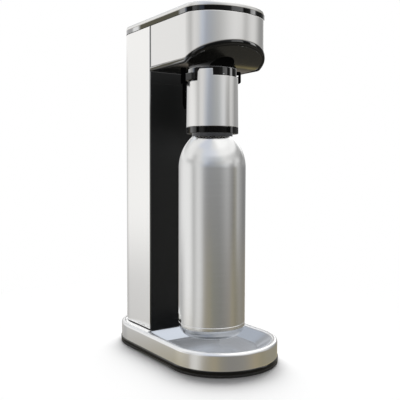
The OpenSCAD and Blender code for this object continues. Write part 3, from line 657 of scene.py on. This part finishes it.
class CARBONATOR_OT_head(bpy.types.Operator):
    """Head band, dark underside, top band, lid and button"""

    bl_idname = "carbonator.head"
    bl_label = "Head"

    def execute(self, context):
        self.band()
        self.underside()
        self.top()
        self.button()
        dress_nodes("inner", "head_frame", "button_guide")
        dress_nodes("steel", "lid_screws", "button_spring", "press_lever", "lever_pivot_pin")
        return {"FINISHED"}

    def band(self):
        """Silver band: a thin wall round the front whose lower edge follows the slanted underside."""
        high = span("head_band")[1]
        outline = wall(open_path(head_half(), high[1] - 0.7, front=True), S.skin, 0.9)
        band = prism("head_band_skin", outline, band_edge(outline[0][:, 1:]), high[2], 0.5, "stand")
        finish(band, "sheet", "brushed_steel_skin", "head_band")

    def underside(self):
        """Dark band under the silver one and the floor between its walls, flat behind the crease and slanted ahead."""
        climb = S.front_rise
        roll = 1.3
        p, n = open_path(head_half(UNDER_HI[0] - LID_HI[0]), UNDER_HI[1], front=True)
        outline = wall((p, n), 4, 0.3)
        y = outline[0][:, 1:]
        rim = prism("head_shroud_rim", outline, UNDER_LO[2] + slant(y, climb), band_edge(y) - 0.05, roll, "stand")
        finish(rim, "gloss", "gloss_black", "head_underside")
        half = len(p) // 2
        inner = p - (roll + 0.2) * n
        left, right = inner[:half], inner[half:][::-1]
        share = np.linspace(0, 1, 25)[None, :, None]
        across = left[:, None] * (1 - share) + right[:, None] * share
        z = UNDER_LO[2] + slant(across[..., 1:], climb, round_r=9)
        face = np.concatenate([across, z], axis=-1)
        rings = np.concatenate([face, (face + (0, 0, 2.6))[:, ::-1]], axis=1)
        split = int(np.searchsorted(-left[:, 1], -(crease() + 9)))
        for name, part in (("head_floor_rear", rings[:split + 1]), ("head_floor", rings[split:])):
            finish(ring_piece(name, part, "stand", closed=False, caps="fold"), "ceiling", "gloss_black")

    def top(self):
        """Dark ring and silver lid: sections carried round the head's outline, the lid closed in to the button."""
        outline = both_sides(*head_half())
        b = 0.3
        z0, z1 = (corner[2] for corner in span("top_band"))
        section = [(b, z0), (0, z0 + b), (0, z1 - b), (b, z1), (S.skin + 3, z1), (S.skin + 3, z0)]
        ring = ring_piece("top_band_ring", [inward(outline, *place) for place in section], "stand", sharp=30)
        finish(ring, "gloss", "gloss_black", "top_band")
        low, high = LID_LO[2], LID_HI[2]
        edge = arc((S.lid_edge, high - S.lid_edge), S.lid_edge, 180, 90, 8)
        rows = [inward(outline, *place) for place in ((b, low), (0, low + b), *edge, (S.lid_edge + 1, high))]
        away = unit(outline[0] - DOCK[:2])
        for gap, z in ((2.0, high), (1.6, high), (0.65, high - 0.7), (0.4, high - 1.2), (0.4, low)):
            rows.append(at_height(DOCK[:2] + (S.button_r + gap) * away, z))
        finish(ring_piece("lid_skin", rows, "stand", sharp=30), "lid", "brushed_steel_skin", "lid")

    def button(self):
        """Press button: a dished cap with a soft rim on a stem."""
        r = S.button_r
        low, high = (corner[2] for corner in span("press_button"))
        skirt = high - 6
        crown = soften([(0, high - 1.1), (r * 0.55, high - 0.9), (r - 1.6, high), (r, high - 0.2), (r, skirt)],
                       (12, 0.9, 0.6))
        stem = [(5, skirt), (5, low + 1.5), (2.5, low + 1.5), (2.5, low), (0, low)]
        cap = revolve("button_cap", [*crown, *stem], DOCK, "button", turns=96)
        finish(cap, "gloss", "gloss_black", "press_button")


class CARBONATOR_OT_gas_line(bpy.types.Operator):
    """Gas cylinder, its valve, the valve block and the tube to the dock"""

    bl_idname = "carbonator.gas_line"
    bl_label = "Gas line"

    def execute(self, context):
        low, high = CYLINDER_LO[2], CYLINDER_HI[2]
        centre = (CYLINDER_LO[:2] + CYLINDER_HI[:2]) / 2
        r = CYLINDER_HI[0] - centre[0]
        neck, shoulder = 11, 26
        foot = soften([(0, low + 4), (r - 12, low + 4), (r - 8, low), (r, low), (r, low + 20)], (3, 3, 6), 8)
        dome = arc((0, 0), 1, 0, 90, 24) * (r - neck, shoulder) + (neck, high - shoulder)
        cylinder = revolve("gas_cylinder_skin", [*foot, *dome, (0, high)], centre, "cylinder")
        finish(cylinder, "lacquer", "cylinder_aluminium", "gas_cylinder")
        dress_nodes("brass", "cylinder_valve", "valve_block", "valve_pin", "safety_valve", "dock_nozzle")
        dress_nodes("steel", "gas_tube")
        dress_nodes("rubber", "cylinder_seal", "dock_seal")
        return {"FINISHED"}


class CARBONATOR_OT_dock(bpy.types.Operator):
    """Dock under the head: collar, rails and the rounded lip ahead of them"""

    bl_idname = "carbonator.dock"
    bl_label = "Dock"

    def execute(self, context):
        climb = S.front_rise
        low, high = span("dock_nose")
        edge, turns = 8, 128
        r = (high[0] - low[0]) / 2
        centre = ((low[0] + high[0]) / 2, low[1] + r)
        line = np.array([(0, low[2]), *arc((r - edge, low[2] + edge), edge, -90, 0, 12), (r, low[2] + climb)])
        rows = around(centre, line[:, :1], np.linspace(0, 360, turns, endpoint=False), line[:, 1:])
        rows[..., 1] = np.minimum(rows[..., 1], crease() + 0.5)
        rows[..., 2] = np.minimum(rows[..., 2], UNDER_LO[2] + slant(rows[..., 1], climb) + 0.4)
        middle = np.tile(rows[-1].mean(axis=0), (1, turns, 1))
        nose = ring_piece("dock_nose_dome", np.concatenate([rows, middle]), "stand", closed=False)
        finish(nose, "inner", "gloss_black", "dock_nose")
        dress_nodes("inner", "dock_collar", "dock_rails")
        return {"FINISHED"}


class CARBONATOR_OT_infuser(bpy.types.Operator):
    """Infuser: dark neck with lugs, stepped sleeve, collar and the two release levers"""

    bl_idname = "carbonator.infuser"
    bl_label = "Infuser"

    def execute(self, context):
        self.neck()
        self.lugs()
        self.sleeve()
        self.collar()
        self.lever(*RELEASES[0], SLEEVE_HI[0] + 1.2)
        self.lever(*RELEASES[1], S.sleeve_top_r + 0.4)
        dress_nodes("steel", "vent_lever_pin", "vent_lever_spring", "hook_lever_pin", "hook_lever_spring")
        dress_nodes("rubber", "bottle_seal")
        dress_nodes("milky", "dip_tube")
        return {"FINISHED"}

    def inner_r(self, outer_r):
        """Radius of the neck inside the sleeve."""
        return outer_r - S.sleeve_t - 0.3

    def neck(self):
        """Dark neck: a slim cone with a soft top edge, whose wall steps in behind each release lever."""
        r_low, r_top = self.inner_r(SLEEVE_HI[0]), self.inner_r(S.sleeve_top_r)
        low, high = SLEEVE_LO[2], INFUSER_HI[2]
        notches = [(way, math.degrees(math.asin((width / 2 + 0.3) / r_top)), joint_place(f"{name}_lift")[2] - 3.2)
                   for name, way, width, _ in RELEASES]
        a = [way + side * half + step for way, half, _ in notches for side in (-1, 1) for step in (-0.2, 0.2)]
        a = np.sort(np.concatenate([np.arange(0, 360, 3), a]) % 360)
        heights = [z + step for _, _, z in notches for step in (0, 0.05)]
        heights = np.sort([low, low + 20, *heights, high - 0.6, high - 0.2, high])
        trim = np.interp(heights, [high - 0.6, high - 0.2, high], [0, 0.2, 0.6])
        radius = np.tile((r_low + (r_top - r_low) * (heights - low) / (high - low) - trim)[:, None], len(a))
        for way, half, z in notches:
            behind = np.abs((a - way + 180) % 360 - 180) < half
            radius[np.ix_(heights > z, behind)] -= 6.5
        poles = [around(DOCK, 0, a, z)[None] for z in (low, high)]
        rows = np.concatenate([poles[0], around(DOCK, radius, a, heights[:, None]), poles[1]])
        neck = ring_piece("infuser_neck", rows, "infuser", closed=False)
        finish(neck, "gloss", "gloss_black", "infuser_body").visible_glossy = True

    def lugs(self):
        """Two lug blocks beside the neck and a rivet near its front."""
        r_top = self.inner_r(S.sleeve_top_r)
        z = UNDER_LO[2] - S.side_drop + 1.2
        for name, side in (("right_lug", 1), ("left_lug", -1)):
            near, far = sorted((side * (r_top - 5), side * INFUSER_HI[0]))
            lug = box_piece(name, (near, DOCK[1] - 7, z), (far, DOCK[1] + 12, z + 8.6), 0.8, "infuser")
            finish(lug, "ceiling", "gloss_black")
        dome = soften([(0, -1.2), (1.1, -1.2), (1.1, 1.5), (0, 1.5)], (0.8, 0.1), 5)
        local = around((0, 0), dome[:, :1], np.linspace(0, 360, 24, endpoint=False), dome[:, 1:])
        z = UNDER_LO[2] - S.front_drop + 1.6
        local = np.stack([-local[..., 1], local[..., 2] - r_top, z + local[..., 0]], axis=-1)
        rivet = ring_piece("neck_rivet", round_dock(-9.5, local), "infuser", closed=False)
        finish(rivet, "steel", "steel_parts")

    def sleeve(self):
        """Stepped sleeve: a thin conical wall whose rounded upper edge has three cuts between two raised tabs."""
        low = SLEEVE_LO[2]
        tab, front, side = (UNDER_LO[2] - drop for drop in (S.tab_drop, S.front_drop, S.side_drop))
        w = 0.7
        corners = [(-180, tab), (-146 - w, tab), (-146, side), (-70, side), (-70 + w, tab - 3), (-65, tab),
                   (-34 - w, tab), (-34, front), (70, front), (70 + w, side), (146, side), (146 + w, tab), (180, tab)]
        fine = np.array([[-146], [-70], [-65], [-34], [70], [146]]) + np.linspace(-1.6, 1.6, 17)
        a = np.unique(np.concatenate([np.arange(-180, 180, 2.5), fine.ravel()]).round(3))
        top = np.interp(a, *np.array(corners).T)

        def ring(inset, z):
            radius = SLEEVE_HI[0] + (S.sleeve_top_r - SLEEVE_HI[0]) * (z - low) / (tab - low) - inset
            return around(DOCK, radius, a, z)

        hem, edge = 0.2, 0.3
        rows = [ring(hem, low), ring(0, low + hem)]
        rows += [ring(0, low + hem + (top - edge - low - hem) * t) for t in np.linspace(0.1, 1, 10)]
        rows += [ring(edge * (1 - math.cos(t)), top - edge + edge * math.sin(t)) for t in np.radians((30, 60, 90))]
        rows += [ring(S.sleeve_t - edge, top), ring(S.sleeve_t, top - edge), ring(S.sleeve_t, low)]
        sleeve = ring_piece("infuser_sleeve_skin", rows, "infuser", sharp=30)
        finish(sleeve, "sheet", "brushed_steel_skin", "infuser_sleeve")

    def collar(self):
        """Dark collar that grips the bottle: a turned ring with soft edges."""
        low, high = COLLAR_LO[2], COLLAR_HI[2]
        r, bore = COLLAR_HI[0], S.neck_r + 0.5
        foot = (r - 1.4, low + 0.15)
        line = soften([foot, (r, low), (r, high), (bore, high), (bore, low + 2.2), foot], (0.5, 0.4, 0.2, 0.2), 5)
        finish(revolve("collar_ring", line[:-1], DOCK, "infuser"), "gloss", "gloss_black", "infuser_collar")

    def lever(self, name, degrees, width, node, reach):
        """Release lever: an eye round its pin, an arm over the sleeve's edge and a tab that thins to its foot."""
        t = S.lever_t
        eye, edge = 2.6, 0.35
        pin_r = self.inner_r(S.sleeve_top_r) - 2.2
        pin_z, foot_z = joint_place(f"{name}_lift")[2], span(node)[0][2]
        top, out = pin_z + eye, reach + t
        taper = 0.17 * (pin_z - foot_z)
        outer = soften([(pin_r + 1, top), (out, top), (out, foot_z + taper), (reach + 0.4 * t, foot_z),
                        (reach, foot_z), (reach, pin_z - 0.6), (pin_r + 1.5, pin_z - 0.6)],
                       (2, 0.8, 0.3, 0.2, 0.5), 5)
        line = np.concatenate([arc((pin_r, pin_z), eye, 90, 262, 16), outer[::-1]])
        after, before = np.roll(line, -1, axis=0), np.roll(line, 1, axis=0)
        normal = unit((after - before)[:, ::-1] * (1, -1))
        normal *= np.sign(np.sum(line[:, 0] * after[:, 1] - after[:, 0] * line[:, 1]))
        rows = []
        for x, inset in ((-width / 2, edge), (-width / 2 + edge, 0), (width / 2 - edge, 0), (width / 2, edge)):
            rim = line - inset * normal
            rows.append(np.stack([np.full(len(rim), x), -rim[:, 0], rim[:, 1]], axis=-1))
        lever = ring_piece(f"{name}_lever", round_dock(degrees, np.stack(rows)), name, closed=False, caps="face")
        finish(lever, "inner", "matte_black", node)


class CARBONATOR_OT_bottle(bpy.types.Operator):
    """Steel bottle and its pressed foot, turned round the dock axis"""

    bl_idname = "carbonator.bottle"
    bl_label = "Bottle"
    groove, wide = 0.35, 0.5  # depth and width of the bottle's seams

    def execute(self, context):
        self.body()
        self.foot()
        return {"FINISHED"}

    def body(self):
        """Body, shoulder and mouth with their inner wall, and a dark ring on the neck that paints the shade under the
        collar.
        """
        r, seam, mouth = BOTTLE_HI[0], BOTTLE_LO[2], COLLAR_LO[2] - 0.3
        slim, lip_r = S.neck_r - 0.4, S.neck_r - 1.2
        fillet = 0.4
        shoulder_h = math.sqrt(S.shoulder_r ** 2 - (S.shoulder_r - r + S.neck_r) ** 2)
        body_top = COLLAR_LO[2] - 3.5
        centre = (r - S.shoulder_r, body_top - shoulder_h)
        reach = slim + fillet - centre[0]
        climb = math.sqrt((S.shoulder_r + fillet) ** 2 - reach ** 2)
        meet = math.degrees(math.atan2(climb, reach))
        top_angle = math.degrees(math.asin(shoulder_h / S.shoulder_r))
        groove_r = r - self.groove
        line = [(r - 5, seam), (groove_r, seam), (groove_r, seam + 0.25), (r, seam + self.wide),
                (r, seam + self.wide + 0.4), (r, centre[1] - 0.5), *arc(centre, S.shoulder_r, 0, meet, 28),
                *arc((slim + fillet, centre[1] + climb), fillet, 180 + meet, 180, 8)[1:], (slim, mouth),
                (lip_r, mouth), (lip_r, BOTTLE_HI[2]), (lip_r - 2.2, BOTTLE_HI[2]), (lip_r - 2.2, mouth - 3),
                *arc(centre, S.shoulder_r - S.bottle_wall, top_angle, 0, 20), (r - S.bottle_wall, seam)]
        finish(revolve("bottle_skin", line, DOCK, "bottle", turns=160), "bottle", "steel_bottle", "bottle")
        # painted shade: a dark grey ring round the neck, where the collar's shade falls
        hoop = [(slim - 0.5, body_top - 2.7), (slim + 1.9, body_top - 2.7), (slim + 0.35, body_top - 0.8),
                (slim + 0.35, mouth + 1.6), (slim - 0.5, mouth + 1.6)]
        finish(revolve("bottle_neck_shade", hoop, DOCK, "bottle"), "gasket", "gloss_black")

    def foot(self):
        """Pressed foot: a dished floor, a round heel and a bead below the seam."""
        r, low, top = BOTTLE_HI[0], FOOT_LO[2], FOOT_HI[2]
        bead = top - 3
        centre = (r - S.heel_r, low + S.heel_r)
        groove_r, half = r - self.groove, self.wide / 2
        line = [(0, low + 0.6), (centre[0] - 6, low + 0.6), *arc(centre, S.heel_r, -90, 0, 20),
                (r, bead - self.wide - 0.5), (r, bead - half), (groove_r, bead), (r, bead + half),
                (r, bead + half + 0.5), (r, top - 0.9), (r, top - 0.4), (groove_r, top), (r - S.bottle_wall, top),
                *arc(centre, S.heel_r - S.bottle_wall, 0, -90, 12), (0, low + S.bottle_wall)]
        finish(revolve("bottle_foot", line, DOCK, "bottle", turns=160), "bottle", "steel_bottle", "bottle_base")


# ---------- stage ----------

CAMERA_PLACE = (-0.4332, -0.65214, 0.233905)
CAMERA_TURN = math.radians(34.06)
CAMERA_TILT = math.radians(-3.075)
CAMERA_ROLL = math.radians(0.167)
LENS_MM = 55.12
FLOOR_REACH = 3.0
FLOOR_FADE = (0.25, 0.5)  # distances from the middle, in metres, between which the floor turns plain white

TABLE = (0.34, 0.32, 0.27)
SKY = (0.93, 0.95, 1.02)
AMBIENT = (0.17, 0.17, 0.17, 1)
# a direction, the cosines about it between which a lamp grows, and its tone: a warm lamp low behind the right side
# that only soft reflections show, and the soft lamp high behind the right side that lights everything
GLOW = ((0.705156, 0.531371, -0.469472), 0.975, 0.997, (1.15, 0.97, 0.45, 1))
LAMP = ((0.47, 0.683, 0.559), 0.78, 1.0, (7.8, 7.8, 7.8, 1))
# the studio's walls as brushed metal shows them: from and to which elevation each ring takes over, then its tones.
# In every ring a place in degrees from +X comes before its tone in hundredths: grey, or red, green and blue
WALLS = (
    (-30, -20, (
        (0, 30, 28, 21), (50, 29, 27, 21), (105, 27, 25, 22), (118, 31, 28, 22), (122, 38, 34, 22), (140, 37, 32, 20),
        (158, 33, 29, 19), (167, 36, 32, 24), (173, 70, 68, 64), (186, 72, 71, 66), (194, 48, 45, 39),
        (201, 32, 29, 22), (213, 31, 28, 20), (225, 37, 32, 21), (238, 27, 25, 20), (255, 23, 22, 21),
        (283, 25, 24, 21), (309, 37, 31, 20), (325, 31, 28, 19))),
    (-17, -14.8, (
        (0, 31, 29, 25), (19, 29, 27, 22), (56, 36, 31, 26), (90, 55), (106, 52), (118, 66), (133, 93), (143, 102),
        (153, 100), (162, 88), (170, 62), (176, 66), (186, 83), (194, 83), (201, 70), (208, 50, 48, 44),
        (216, 38, 36, 30), (228, 33, 31, 24), (240, 27, 27, 23), (265, 25, 25, 23), (283, 29, 28, 26),
        (298, 33, 31, 28), (309, 36, 33, 25), (325, 28, 26, 20), (346, 33, 31, 27))),
    (-12, -4, (
        (0, 29), (14, 24), (56, 40), (85, 60), (104, 85), (118, 98), (140, 102), (153, 98), (161, 82), (169, 56),
        (176, 68), (184, 83), (192, 82), (199, 68), (206, 47), (213, 35), (226, 30), (260, 30), (274, 37), (283, 43),
        (290, 44), (298, 38), (306, 29), (314, 25, 24, 21), (322, 35, 34, 30), (332, 53), (343, 42))),
    (-2, 6, (
        (0, 40), (15, 40), (56, 50), (90, 70), (108, 88), (119, 96), (135, 100), (148, 97), (158, 80), (169, 62),
        (180, 80), (190, 81), (199, 66, 68, 73), (209, 50, 53, 59), (218, 38, 41, 46), (235, 40, 42, 45),
        (253, 45, 47, 48), (265, 52, 54, 56), (273, 65, 67, 69), (281, 78, 79, 81), (290, 76, 77, 79), (300, 48),
        (310, 40), (323, 76), (332, 66), (352, 34))),
    (7, 12, (
        (0, 34), (15, 32), (36, 170), (46, 170), (51, 25), (57, 25), (61, 90), (90, 100), (108, 98), (119, 97),
        (128, 93), (138, 77), (152, 64), (164, 56), (174, 72), (184, 82), (200, 74), (214, 61, 66, 76),
        (226, 43, 46, 53), (240, 44, 46, 49), (256, 53), (268, 64), (281, 78), (292, 88), (304, 86), (310, 66),
        (315, 57), (322, 74), (331, 84), (338, 80), (351, 45))),
    (14, 20, (
        (0, 50), (11, 52), (36, 170), (46, 170), (51, 20), (57, 22), (61, 60), (85, 60), (102, 80), (118, 94),
        (146, 102), (168, 65), (188, 87), (207, 70, 74, 81), (225, 59, 62, 69), (243, 57, 59, 63), (261, 66, 69, 71),
        (280, 87), (300, 78), (322, 69), (349, 48))),
    (25, 34, (
        (0, 114), (15, 130), (40, 100), (60, 60), (92, 85, 90, 97), (108, 90), (122, 104), (145, 100), (165, 86),
        (185, 85), (205, 78, 82, 90), (225, 79, 83, 92), (245, 88, 90, 96), (268, 108), (291, 112), (314, 108),
        (335, 112))),
    (43, 56, (
        (0, 108, 110, 114), (16, 166, 170, 176), (60, 100), (96, 90, 95, 102), (116, 90), (144, 100),
        (173, 76, 79, 89), (215, 74, 78, 87), (250, 95), (276, 125), (303, 125), (347, 120))),
)
# the lamps and flags of the same studio as mirror-smooth plastic shows them, level and low
MIRRORED = (
    (0, 10), (14, 25), (24, 80), (90, 150), (108, 280), (122.3, 340), (134, 170, 190, 230), (142, 20), (172, 12),
    (176, 150), (190, 145), (199, 75), (207, 75, 90, 115), (217, 60, 70, 95), (221, 10), (262, 15), (282, 35),
    (285, 190), (306, 240), (308.5, 5), (324, 30), (326.5, 460), (337, 550), (340, 50), (347, 10))
MIRRORED_LOW = (
    (0, 20), (80, 5), (105, 10), (116, 36, 32, 23), (124, 160), (131, 230), (145, 160), (157, 110), (162, 4), (173, 4),
    (176, 42), (190, 50), (199, 25), (204, 6), (265, 8), (284, 15), (299, 15), (302, 4), (321, 4), (324, 170),
    (333, 170), (337, 20))
# a sheet of card between two white strips: it shows in the plastic along the flat sides of head and tower
CARD = ((117.75, 117.95, (6.5, 6.5, 6.5)), (118.25, 118.6, (0.95, 0.9, 0.68)), (121.95, 122.25, (3.8, 3.8, 3.8)))


def rise(degrees):
    """Height of a direction at an elevation."""
    return math.sin(math.radians(degrees))


class CARBONATOR_OT_stage(bpy.types.Operator):
    """Pale floor, soft studio light and the camera"""

    bl_idname = "carbonator.stage"
    bl_label = "Stage"

    def execute(self, context):
        self.floor()
        self.world()
        self.camera()
        context.scene.view_settings.view_transform = "Standard"
        return {"FINISHED"}

    def floor(self):
        """White floor that keeps the object's soft shadow; the metal sees the studio round it instead."""
        mesh = bpy.data.meshes.new("floor")
        corners = [(FLOOR_REACH * x, FLOOR_REACH * y, 0) for x, y in ((-1, -1), (1, -1), (1, 1), (-1, 1))]
        mesh.from_pydata(corners, [], [(0, 1, 2, 3)])
        floor = bpy.data.objects.new("floor", mesh)
        bpy.context.scene.collection.objects.link(floor)
        made, tree, shader = surface("painted_floor", linear("#FBFBFB"), 1.0, Specular_IOR_Level=0.0)
        place = add_node(tree, "TexCoord").outputs["Object"]
        away = add_node(tree, "VectorMath", {0: place}, operation="LENGTH").outputs["Value"]
        fade = {"Value": away, "From Min": FLOOR_FADE[0], "From Max": FLOOR_FADE[1]}
        far = add_node(tree, "MapRange", fade)
        white = add_node(tree, "Emission", {"Color": (1, 1, 1, 1), "Strength": 1.0})
        both = add_node(tree, "MixShader", {0: far.outputs[0], 1: shader.outputs[0], 2: white.outputs[0]})
        tree.links.new(both.outputs[0], tree.nodes["Material Output"].inputs["Surface"])
        mesh.materials.append(made)
        floor.visible_glossy = False

    def ring(self, tree, compass, tones):
        """One turn of the studio's walls: tones eased from one to the next, and from the last back to the first."""
        tones = [(degrees / 360, np.ones(3) * tone / 100) for degrees, *tone in tones]
        tones.append((1, tones[0][1]))
        gain = float(max(tone.max() for _, tone in tones))
        made = add_node(tree, "ValToRGB", {0: compass})
        elements = made.color_ramp.elements
        elements.remove(elements[0])
        elements[0].position = tones[0][0]
        elements[0].color = (*tones[0][1] / gain, 1)
        for place, tone in tones[1:]:
            elements.new(place).color = (*tone / gain, 1)
        bright = add_node(tree, "VectorMath", {0: made.outputs[0], "Scale": gain}, operation="SCALE")
        return bright.outputs[0]

    def layers(self, tree, value, done, *parts):
        """Tones one after the other: each takes over from the last between two readings of a value."""
        for low, high, tone in parts:
            edge = {"Value": value, "From Min": low, "From Max": high}
            share = add_node(tree, "MapRange", edge, interpolation_type="SMOOTHSTEP")
            mix = add_node(tree, "Mix", {0: share.outputs[0], 6: done, 7: tone}, data_type="RGBA")
            done = mix.outputs[2]
        return done

    def world(self):
        """White to the camera; to the metal a studio of pale walls, a dim front and a warm table, by direction."""
        world = bpy.data.worlds.new("studio")
        bpy.context.scene.world = world
        world.use_nodes = True
        tree = world.node_tree
        tree.nodes.clear()
        place = add_node(tree, "TexCoord").outputs["Generated"]
        x, compass, up = add_node(tree, "SeparateXYZ", {0: place}).outputs
        turn = 2 * math.pi
        for operation, other in (("ARCTAN2", x), ("ADD", turn), ("MODULO", turn), ("DIVIDE", turn)):
            compass = add_node(tree, "Math", {0: compass, 1: other}, operation=operation).outputs[0]

        def toward(dim, way, low, high, bright):
            """One tone that gives way to a lamp's toward its direction."""
            near = add_node(tree, "VectorMath", {0: place, 1: way}, operation="DOT_PRODUCT")
            return self.layers(tree, near.outputs["Value"], dim, (low, high, bright))

        walls = [(rise(low), rise(high), self.ring(tree, compass, tones)) for low, high, tones in WALLS]
        soft = toward(self.layers(tree, up, (*TABLE, 1), *walls), *GLOW)
        lamps = self.ring(tree, compass, MIRRORED)
        card = [(low / 360, high / 360, (*tone, 1)) for low, high, tone in CARD]
        lamps = self.layers(tree, compass, lamps, *card, (123 / 360, 126 / 360, lamps))
        low = self.ring(tree, compass, MIRRORED_LOW)
        sharp = self.layers(tree, up, (*[0.5 * tone for tone in TABLE], 1), (rise(-14), rise(-6), low),
                            (rise(5), rise(7), lamps), (rise(25), rise(50), (*SKY, 1)))
        path = add_node(tree, "LightPath").outputs
        seen = self.layers(tree, path["Is Singular Ray"], soft, (0, 1, sharp))
        mirror = {0: path["Is Glossy Ray"], 1: path["Is Transmission Ray"]}
        mirror = add_node(tree, "Math", mirror, operation="MAXIMUM").outputs[0]
        light = self.layers(tree, mirror, toward(AMBIENT, *LAMP), (0, 1, seen))
        shown = self.layers(tree, path["Is Camera Ray"], light, (0, 1, (1, 1, 1, 1)))
        back = add_node(tree, "Background", {"Color": shown, "Strength": 1.0})
        add_node(tree, "OutputWorld", {"Surface": back.outputs[0]})

    def camera(self):
        """Camera that looks along its turn and tilt, rolled a little about its own axis."""
        data = bpy.data.cameras.new("camera")
        data.sensor_width = 36.0
        data.lens = LENS_MM
        camera = bpy.data.objects.new("camera", data)
        bpy.context.scene.collection.objects.link(camera)
        place = Matrix.Translation(CAMERA_PLACE)
        for angle, axis in ((-CAMERA_TURN, "Z"), (math.pi / 2 + CAMERA_TILT, "X"), (CAMERA_ROLL, "Z")):
            place = place @ Matrix.Rotation(angle, 4, axis)
        camera.matrix_world = place
        bpy.context.scene.camera = camera


class CARBONATOR_PT_panel(bpy.types.Panel):
    """Buttons that build the carbonator, and its settings"""

    bl_idname = "CARBONATOR_PT_panel"
    bl_label = "Carbonator"
    bl_space_type = "VIEW_3D"
    bl_region_type = "UI"
    bl_category = "Carbonator"

    def draw(self, context):
        column = self.layout.column()
        for operator in OPERATORS:
            column.operator(operator.bl_idname)
        for group in (context.scene.carbonator_sizes, context.scene.carbonator_colours):
            for name in group.__annotations__:
                column.prop(group, name, text=name.replace("_", " ").capitalize())


OPERATORS = (
    CARBONATOR_OT_base,
    CARBONATOR_OT_tray,
    CARBONATOR_OT_tower,
    CARBONATOR_OT_head,
    CARBONATOR_OT_gas_line,
    CARBONATOR_OT_dock,
    CARBONATOR_OT_infuser,
    CARBONATOR_OT_bottle,
    CARBONATOR_OT_stage,
)
CLASSES = (CarbonatorSizes, CarbonatorColours, *OPERATORS, CARBONATOR_PT_panel)


def register():
    for made in CLASSES:
        bpy.utils.register_class(made)
    bpy.types.Scene.carbonator_sizes = bpy.props.PointerProperty(type=CarbonatorSizes)
    bpy.types.Scene.carbonator_colours = bpy.props.PointerProperty(type=CarbonatorColours)


def unregister():
    del bpy.types.Scene.carbonator_colours
    del bpy.types.Scene.carbonator_sizes
    for made in reversed(CLASSES):
        bpy.utils.unregister_class(made)


def main():
    """Registers the add-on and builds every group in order."""
    register()
    for operator in OPERATORS:
        group, name = operator.bl_idname.split(".")
        getattr(getattr(bpy.ops, group), name)()


if __name__ == "__main__":
    main()
